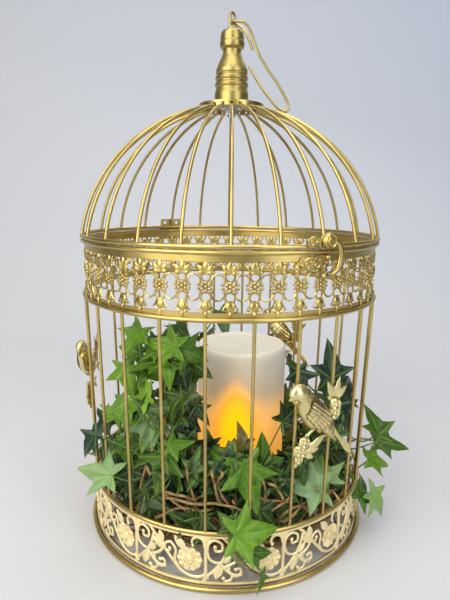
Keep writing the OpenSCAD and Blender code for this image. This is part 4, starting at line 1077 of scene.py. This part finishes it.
# half of a leaf's outline from its stalk notch round to its tip, as shares of its length
LEAF_EDGE = [
    (0, 0.03), (0.05, -0.02), (0.14, -0.09), (0.26, -0.16), (0.39, -0.19), (0.35, -0.08), (0.3, 0.01),
    (0.29, 0.09), (0.38, 0.17), (0.51, 0.26), (0.65, 0.37), (0.5, 0.38), (0.36, 0.39), (0.25, 0.42),
    (0.22, 0.54), (0.155, 0.7), (0.07, 0.88), (0, 1.0),
]
COARSE_EDGE = (0, 2, 4, 7, 10, 13, 15, 17)  # the points that a small leaf keeps
LEAF_TIPS = ((0.38, -0.19), (0.64, 0.37), (0, 1.0))  # where the veins end
STALK = np.array([0.0, 0.06])  # where the stalk and all veins meet
FINE_RINGS = [0.001, 0.2, 0.4, 0.6, 0.8, 0.95, 1.0]  # rings of points from the stalk to the outline
COARSE_RINGS = [0.001, 0.5, 1.0]
LEAF_LIFT = 0.36  # a leaf turns about this share of its length
SHEET = 0.45  # thickness of the leaf cloth, in mm
VEIN_WIDTH, VEIN_HALO = 0.022, 0.08  # shares of a leaf's length
SMALL_LEAVES, THICKET_FROM = 460, 311  # all leaves of the understorey, and where those of the thicket start
CANDLE_ROOM, INSIDE_BARS = 41, 116  # radii about the candle and the cage that small leaves keep between
LOWEST_LEAF, HIGHEST_LEAF = 3, 120  # heights that small leaves keep between


def cylindrical(azimuth, radius, height):
    """Points at an azimuth from the front: (radius sin a, -radius cos a, height)."""
    a = np.radians(azimuth)
    return np.stack([radius * np.sin(a), -radius * np.cos(a), height + 0 * a], -1)


def vine_line(azimuth):
    """The woody ring on the floor: radius 84 + 5 sin 3a, height 3 (1 + sin 5a) above where it lies."""
    a = np.radians(azimuth)
    return cylindrical(azimuth, 84 + 5 * np.sin(3 * a), 5.3 + 3 * (1 + np.sin(5 * a)))


def twisted_ring():
    """Two twigs that wind round the ring's line 14 times, half a turn apart and 1.15 mm from it."""
    a = np.linspace(0, 360, 145)[:-1]
    centre = vine_line(a)
    out = unit(centre * [1, 1, 0])
    twigs = []
    for k in (0, 1):
        w = np.radians(14 * a + 180 * k)[:, None]
        path = centre + 1.15 * (np.cos(w) * out + np.sin(w) * UP)
        girth = 1.35 + 0.15 * np.sin(np.radians(a * 17 + 90 * k))
        twigs.append(tube(path, girth, 8, closed=True))
    return join(twigs)


def climbing_stems():
    """Each climbing stem from the ring through its own (azimuth, radius, height) points."""
    lines = []
    for stem in STEMS:
        q = np.array(stem, float)
        lines.append(smooth(np.concatenate([vine_line(q[:1, 0]), cylindrical(q[:, 0], q[:, 1], q[:, 2])]), 6))
    return lines


def tendrils(rng, all_round=22, in_front=20):
    """Low loops from one place on the ring to another: bulge * sin outwards and rise * sin ** 1.5 upwards,
    with a wave of 1.5 mm. Those in front bulge more."""
    start = np.concatenate([np.arange(all_round) * 360 / all_round, np.linspace(-110, 22, in_front)])
    start = start + rng.uniform(-8, 8, all_round + in_front)
    u = np.linspace(0, 1, 22)
    swell = np.sin(np.pi * u)[:, None]
    lines = []
    for k, azimuth in enumerate(start):
        span, bulge, rise = rng.uniform(26, 60), rng.uniform(2, 24), rng.uniform(8, 46)
        if k >= all_round:
            span, bulge, rise = rng.uniform(18, 44), rng.uniform(16, 27), rng.uniform(10, 44)
        base = vine_line(azimuth + span * u)
        path = base + bulge * swell * unit(base * [1, 1, 0]) + rise * swell**1.5 * UP
        lines.append(path + 1.5 * np.sin(9 * u + k)[:, None] * UP)
    return lines


def bare_loops():
    """Each loop through its own points, its ends led down and in behind the leaves, with a wave of 0.5 mm."""
    lines = []
    for k, loop in enumerate(LOOPS):
        q = np.array(loop, float)
        q = np.concatenate([q[:1] - [2, 17, 7], q, q[-1:] + [2, -17, -7]])
        path = smooth(cylindrical(q[:, 0], q[:, 1], q[:, 2]), 8)
        lines.append(path + 0.5 * np.sin(0.7 * np.arange(len(path)) + k)[:, None] * UP)
    return lines


def stem_wire(path):
    """A stem that thins from 1.25 to 0.9 mm, with knots of 0.12 mm."""
    girth = np.linspace(1.25, 0.9, len(path)) + 0.12 * np.sin(1.9 * np.arange(len(path)))
    return tube(path, girth, 7, ref=unit(np.array([0.3, 0.2, 0.1])))


def side_of(azimuth):
    """The group of leaves that an azimuth belongs to."""
    azimuth = (azimuth + 180) % 360 - 180
    for side, first, last in SIDES:
        if first <= azimuth < last:
            return side
    return "back"


def sprayed(rng, first, last, radius, lowest, highest, count, shortest, longest, darkest, palest):
    """A spray's leaves: evenly spaced azimuths, shuffled heights, tips that mostly hang. In front and at the
    sides a leaf also turns part of the way back to the front."""
    heights = rng.permutation(np.linspace(lowest, highest, count))
    for azimuth, height in zip(np.linspace(first, last, count) + rng.uniform(-3, 3, count), heights):
        turned_by = rng.normal(0, 16) + (-0.35 * (azimuth + 30) if azimuth < 80 else 0)
        yield Leaf(azimuth, radius + rng.uniform(-5, 5), height, rng.uniform(shortest, longest),
                   rng.normal(180, 75), rng.uniform(10, 50), rng.uniform(darkest, palest), turned_by)


def understorey(lines, rng):
    """Small leaves all along the stems and tendrils, mostly in dark tones as painted shade, then a thicket close
    round the candle in darker ones still. A leaf stays clear of the candle, inside the bars, above the floor, and
    behind the loops of bare stem in front."""
    points = np.concatenate(lines)
    candle = np.array([middle("candle_shell", 0), middle("candle_shell", 1)])
    leaves = []
    while len(leaves) < SMALL_LEAVES:
        thicket = len(leaves) >= THICKET_FROM
        p = points[rng.integers(len(points))] + rng.normal(0, 8, 3)
        if thicket:
            p = cylindrical(rng.uniform(-115, 40), rng.uniform(58, 84), rng.uniform(10, 64))
        length = rng.uniform(13, 23)
        reach = 0.62 * length
        radius, azimuth = np.hypot(p[0], p[1]), np.degrees(np.arctan2(p[0], -p[1]))
        clear = np.hypot(*(p[:2] - candle)) > CANDLE_ROOM + 0.45 * length
        inside = radius + reach < INSIDE_BARS and LOWEST_LEAF + reach < p[2] < HIGHEST_LEAF
        bare = p[2] < 62 and radius > 82 and -75 < azimuth < 22
        fringe = p[2] < 44 and radius > 84 and -112 < azimuth < 36
        # painted shade: small leaves take low tones on the ramp, the thicket's lowest of all
        tone = rng.beta(1.2, 3.0) * (0.3 if thicket else 0.75)
        if clear and inside and not bare and not fringe and rng.random() < 1.15 - p[2] / 100:
            leaves.append(Leaf(azimuth, radius, p[2], length, rng.uniform(0, 360), rng.uniform(-15, 80), tone,
                               rng.normal(0, 45)))
    return leaves


def turns(axis, degrees):
    """Matrix of a turn about an axis."""
    return np.array(Matrix.Rotation(np.radians(degrees), 3, axis))


def leaf_matrix(leaf):
    """Turns leaf axes (x across, y to the tip, z out of the face) to the cage's, by its heading, its tilt and
    the azimuth it faces."""
    faced = turns("Z", leaf.azimuth + leaf.turned)
    return faced @ turns("X", -leaf.tilt) @ turns("Y", leaf.heading) @ turns("X", 90)


def leaf_rings(fine):
    """Flat places (x, y) of a leaf's points and their share s of the way to the outline, over the face and
    back under it: stalk + s * (edge - stalk). A fine leaf has one more point between each two."""
    half = np.array(LEAF_EDGE if fine else [LEAF_EDGE[k] for k in COARSE_EDGE])
    edge = np.concatenate([half, (half * [-1, 1])[-2:0:-1]])
    if fine:
        edge = np.concatenate([edge, 0.5 * (edge + np.roll(edge, -1, 0))], 1).reshape(-1, 2)
    face = FINE_RINGS if fine else COARSE_RINGS
    s = np.array(face + face[::-1])[:, None]
    x = s * (edge[:, 0] - STALK[0])[None] + STALK[0]
    y = s * (edge[:, 1] - STALK[1])[None] + STALK[1]
    return x, y, s


def vein_strength(x, y, s):
    """exp(-(distance / width) ** 2) from the nearest vein, a wider halo of 0.2, and 0.45 along the edge."""
    tips = np.array([(t[0] * m, t[1]) for t in LEAF_TIPS for m in (1, -1)]) - STALK
    way = unit(tips)
    up = (y - STALK[1])[..., None]
    along = np.clip(x[..., None] * way[:, 0] + up * way[:, 1], 0, None)
    off = np.abs(x[..., None] * way[:, 1] - up * way[:, 0])
    line = np.exp(-((off / VEIN_WIDTH) ** 2))
    halo = 0.2 * np.exp(-((off / VEIN_HALO) ** 2))
    return np.maximum((np.maximum(line, halo) * (along > 0.02)).max(-1), 0.45 * (s > 0.99))


def leaf_part(leaf, rng, fine=True):
    """One ivy leaf as a closed sheet, its values for the material, and the foot of its stalk. Its height is
    fold * |x| ** 1.3 - droop * y ** 2 + ripple and wave, with a groove at each vein, and its lobes curl down
    by the 1.6th power of their distance from the stalk."""
    x, y, s = leaf_rings(fine)
    vein = vein_strength(x, y, s)
    fold = sizes().leaf_fold * rng.uniform(0.5, 2.2)
    droop = sizes().leaf_droop * rng.uniform(0.3, 2.6)
    curl = rng.uniform(-0.2, 0.6)
    phase = rng.uniform(0, 6.28)
    ripple = 0.025 * s * np.sin(9 * np.arctan2(y - STALK[1], x) + phase)
    wave = 0.09 * np.sin(3 * y + phase) * x
    z = fold * np.abs(x) ** 1.3 - droop * np.clip(y, 0, None) ** 2 + ripple + wave - 0.012 * vein
    lobe = 1 + 0.6 * np.sin(2 * np.arctan2(x, y - 0.1) + 2 * phase)
    z -= curl * np.clip(np.hypot(x, y - 0.1) - 0.3, 0, None) ** 1.6 * lobe
    x = x * rng.uniform(0.82, 1.04)
    under = np.repeat([0.0, 1.0], len(x) // 2)[:, None] + 0 * x
    q = np.stack([x, y - LEAF_LIFT, z], -1) * leaf.length
    q[..., 2] -= under * SHEET
    matrix = leaf_matrix(leaf)
    centre = cylindrical(leaf.azimuth, leaf.radius, leaf.height)
    p, f = grid(q @ matrix.T + centre, around=True)
    veined = (vein * (1 - 0.3 * s)).ravel()
    values = {"tone": np.full(len(p), leaf.tone), "under": under.ravel(), "vein": veined}
    foot = np.array([0.0, (0.08 - LEAF_LIFT) * leaf.length, 0.0]) @ matrix.T + centre
    return (p, f), values, foot


def stalk(foot, points, matrix):
    """A thin stalk that leaves the leaf along its own back and sags to the nearest point of a stem."""
    near = points[np.argmin(np.linalg.norm(points - foot, axis=1))]
    span = np.linalg.norm(near - foot)
    back = matrix @ np.array([0, -1.0, -0.2]) * 0.25 * span
    path = smooth([foot, 0.6 * foot + 0.4 * near + 0.5 * back - 0.12 * span * UP, near], 5)
    return tube(path, np.linspace(0.55, 0.75, len(path)), 5, ref=unit(np.array([0.37, 0.51, 0.77])))


def leaf_group(leaves, lines, rng, fine):
    """Leaves with their stalks as one part, and the values that the leaf material reads at each point."""
    points = np.concatenate(lines)
    parts, data = [], []
    for leaf in leaves:
        sheet, values, foot = leaf_part(leaf, rng, fine)
        wire = stalk(foot, points, leaf_matrix(leaf))
        n = len(wire[0])
        parts += [sheet, wire]
        data += [values, {"tone": np.full(n, 0.55), "under": np.full(n, 0.6), "vein": np.zeros(n)}]
    return join(parts), {key: np.concatenate([d[key] for d in data]) for key in ("tone", "under", "vein")}


class CAGE_OT_garland(bpy.types.Operator):
    """Ivy garland: a twisted woody ring, climbing stems, and leaves on stalks"""

    bl_idname = "cage.garland"
    bl_label = "Ivy garland"

    def execute(self, context):
        rng = np.random.default_rng(12)
        piece("vine_ring_twisted", "vine_stem", "root", twisted_ring(), ("vine_ring",))
        lines = climbing_stems() + tendrils(rng) + bare_loops()
        stems = join([stem_wire(path) for path in lines])
        piece("vine_stems_wrapped", "vine_stem", "root", stems, ("vine_stems",))
        groups = {side: [] for side in ("left", "front", "right", "back")}
        single = [Leaf(*row) for row in SINGLE_LEAVES]
        for leaf in single + [leaf for spray in SPRAYS for leaf in sprayed(rng, *spray)]:
            groups[side_of(leaf.azimuth)].append(leaf)
        small = understorey(lines, rng)
        for side, leaves in groups.items():
            part, values = leaf_group(leaves, lines, rng, fine=True)
            piece("ivy_" + side + "_leaves", "ivy_leaf", "root", part, ("ivy_leaves_" + side,), values)
        part, values = leaf_group(small, lines, rng, fine=False)
        piece("ivy_understorey_leaves", "ivy_leaf", "root", part, (), values)
        return {"FINISHED"}


# ---------------------------------------------------------------- carried-over nodes


class CAGE_OT_finishes(bpy.types.Operator):
    """Gives every node that is shown as it is the finish of its own material slot"""

    bl_idname = "cage.finishes"
    bl_label = "Finishes"

    def execute(self, context):
        slots = {s["node"]: s["material_slot"] for s in frame["record"]["subparts"]}
        for name, obj in frame["nodes"].items():
            obj.data.materials.clear()
            obj.data.materials.append(material(slots[name]))
        return {"FINISHED"}


# ---------------------------------------------------------------- studio


CAMERA_AZIMUTH = np.radians(-30)  # the camera's side, from the latch
RIGHT = np.array([np.cos(CAMERA_AZIMUTH), np.sin(CAMERA_AZIMUTH), 0])
AWAY = np.array([-np.sin(CAMERA_AZIMUTH), np.cos(CAMERA_AZIMUTH), 0])
SWEEP_BEND = 0.5  # from the cage back to where the floor begins to rise, in m
SWEEP_DEEP, SWEEP_TALL = 1.0, 1.1  # half axes of the ellipse that it rises along, in m


def studio_paper():
    """Matt paper with painted light: its colour is paler with distance, and a faint light of its own, stronger
    with distance and warmer on the left, cooler on the right, brightens the backdrop.
    """
    look, tree, shader = finish("matt_studio_paper", Roughness=0.9, Specular_IOR_Level=0.1,
                                Emission_Strength=1.0)
    here = add(tree, "ShaderNodeTexCoord").outputs["Object"]
    far = add(tree, "ShaderNodeVectorMath", {"operation": "LENGTH"}, _0=here).outputs["Value"]
    reach = add(tree, "ShaderNodeMapRange", limits(0.0, 2.0), Value=far).outputs["Result"]
    # painted light: the paper's colour grows paler with distance from the cage
    paper = add(tree, "ShaderNodeValToRGB", Fac=reach,
                stops=((0.0, "#B9B9BA"), (0.5, "#C4C5C8"), (1.0, "#D4D8E0"))).outputs["Color"]
    # painted light: the paper's own light grows with distance
    even = add(tree, "ShaderNodeValToRGB", Fac=reach,
               stops=((0.0, "#404040"), (0.18, "#474747"), (0.35, "#5A5B5C"), (0.5, "#5C5D5F"),
                      (0.62, "#5C5D60"), (0.85, "#686A6F"))).outputs["Color"]
    x = add(tree, "ShaderNodeSeparateXYZ", Vector=here).outputs["X"]
    across = add(tree, "ShaderNodeMapRange", limits(0.0, 1.2), Value=x).outputs["Result"]
    # painted light: warmer on the left, cooler on the right
    tint = add(tree, "ShaderNodeMix", {"data_type": "RGBA", 6: srgb("#FFF9EE"), 7: srgb("#DAE6FF")},
               _0=across)
    light = add(tree, "ShaderNodeMix", {"data_type": "RGBA", "blend_type": "MULTIPLY", 0: 1.0},
                _6=tint.outputs[2], _7=even)
    feed(tree, shader, Base_Color=paper, Emission_Color=light.outputs[2])
    return look


def studio_sweep():
    """A floor that rises into the backdrop behind the cage: a profile of a level stretch, a quarter of an
    ellipse (bend + deep sin a, tall - tall cos a) and an upright, carried straight across."""
    angle = np.linspace(0, np.pi / 2, 32)
    depth = np.concatenate([[-1.6], SWEEP_BEND + SWEEP_DEEP * np.sin(angle), [SWEEP_BEND + SWEEP_DEEP]])
    height = np.concatenate([[0], SWEEP_TALL - SWEEP_TALL * np.cos(angle), [2.6]]) - 0.0004
    across = np.linspace(-2.2, 2.2, 5)
    p = depth[:, None, None] * AWAY + height[:, None, None] * UP + across[None, :, None] * RIGHT
    verts, faces = grid(p)
    mesh = bpy.data.meshes.new("studio_sweep")
    mesh.from_pydata(verts.tolist(), [], faces.tolist())
    mesh.shade_smooth()
    mesh.materials.append(studio_paper())
    return bpy.data.objects.new("studio_sweep", mesh)


def studio_sky():
    """A soft room that the gold mirrors: warm and dim below, white overhead."""
    world = bpy.data.worlds.new("soft_studio")
    world.use_nodes = True
    tree = world.node_tree
    tree.nodes.clear()
    direction = add(tree, "ShaderNodeTexCoord").outputs["Generated"]
    z = add(tree, "ShaderNodeSeparateXYZ", Vector=direction).outputs["Z"]
    height = add(tree, "ShaderNodeMapRange", limits(-1.0, 1.0), Value=z).outputs["Result"]
    sky = add(tree, "ShaderNodeValToRGB", Fac=height,
              stops=((0.0, "#5A5448"), (0.5, "#5E5748"), (0.66, "#8E929A"), (1.0, "#FFFFFF")))
    back = add(tree, "ShaderNodeBackground", {"Strength": 0.5}, Color=sky.outputs["Color"])
    add(tree, "ShaderNodeOutputWorld", Surface=back.outputs[0])
    return world


def softbox(name, turned_by, out_by, up_by, wide, tall, power, tint):
    """A rectangular lamp turned so many degrees from the camera's side, so many metres out and up, that
    points at the middle of the cage."""
    light = bpy.data.lights.new(name, "AREA")
    light.shape, light.size, light.size_y = "RECTANGLE", wide, tall
    light.energy, light.color = power, srgb(tint)[:3]
    lamp = bpy.data.objects.new(name, light)
    phi = np.radians(turned_by)
    lamp.location = Vector(out_by * (np.sin(phi) * RIGHT - np.cos(phi) * AWAY) + up_by * UP)
    lamp.rotation_euler = (Vector((0, 0, 0.2)) - lamp.location).to_track_quat("-Z", "Y").to_euler()
    return lamp


def studio_camera(distance=0.427, eye_height=0.2732, aside=-0.0033, pitch=0.1965, roll=0.0116):
    """The camera: metres from the cage's axis, above the floor and to the right; radians down and rolled."""
    look = Vector(np.cos(pitch) * AWAY - np.sin(pitch) * UP)
    side = Vector(RIGHT)
    top = side.cross(look)
    x_axis = side * np.cos(roll) + top * np.sin(roll)
    y_axis = top * np.cos(roll) - side * np.sin(roll)
    lens_data = bpy.data.cameras.new("camera")
    lens_data.sensor_width, lens_data.lens = 36.0, 30.09
    lens_data.clip_start, lens_data.clip_end = 0.01, 20
    camera = bpy.data.objects.new("camera", lens_data)
    matrix = Matrix((x_axis, y_axis, -look)).transposed().to_4x4()
    matrix.translation = Vector(aside * RIGHT - distance * AWAY + eye_height * UP)
    camera.matrix_world = matrix
    return camera


class CAGE_OT_studio(bpy.types.Operator):
    """Pale floor and backdrop, soft lights, and the camera"""

    bl_idname = "cage.studio"
    bl_label = "Studio"

    def execute(self, context):
        scene = context.scene
        sweep = studio_sweep()
        scene.collection.objects.link(sweep)
        sweep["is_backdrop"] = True
        scene.view_settings.view_transform = "Standard"
        scene.world = studio_sky()
        for box in (
            ("key_softbox", -38, 1.15, 0.7, 1.15, 1.2, 18, "#FFFCF5"),
            ("fill_softbox", 38, 1.1, 0.65, 0.5, 1.2, 7, "#F4F8FF"),
            ("top_softbox", -10, 0.25, 1.45, 1.0, 1.0, 9, "#FFFFFF"),
            ("back_strip", 160, 0.8, 1.1, 0.9, 0.3, 3, "#FFFFFF"),
        ):
            scene.collection.objects.link(softbox(*box))
        scene.camera = studio_camera()
        scene.collection.objects.link(scene.camera)
        return {"FINISHED"}


# ---------------------------------------------------------------- add-on


PIECES = (CAGE_OT_finishes, CAGE_OT_upper_band, CAGE_OT_lower_band, CAGE_OT_birds, CAGE_OT_latch,
          CAGE_OT_candle, CAGE_OT_garland, CAGE_OT_studio)


class CAGE_PT_panel(bpy.types.Panel):
    """Lists the sizes, colours and pieces in the 3D view's sidebar"""

    bl_idname = "CAGE_PT_panel"
    bl_label = "Birdcage Card Holder"
    bl_space_type = "VIEW_3D"
    bl_region_type = "UI"
    bl_category = "Birdcage"

    def draw(self, context):
        for group in (context.scene.cage_sizes, context.scene.cage_colours):
            for name in group.__annotations__:
                self.layout.prop(group, name)
        for op in PIECES:
            self.layout.operator(op.bl_idname)


CLASSES = (CageSizes, CageColours, *PIECES, CAGE_PT_panel)


def register():
    for c in CLASSES:
        bpy.utils.register_class(c)
    bpy.types.Scene.cage_sizes = PointerProperty(type=CageSizes)
    bpy.types.Scene.cage_colours = PointerProperty(type=CageColours)


def unregister():
    del bpy.types.Scene.cage_colours
    del bpy.types.Scene.cage_sizes
    for c in reversed(CLASSES):
        bpy.utils.unregister_class(c)


def main():
    register()
    for op in PIECES:
        kind, name = op.bl_idname.split(".")
        getattr(getattr(bpy.ops, kind), name)()
    plain = [[list(map(float, corner)) for corner in box] for box in (CAD_BOX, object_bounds())]


if __name__ == "__main__":
    main()
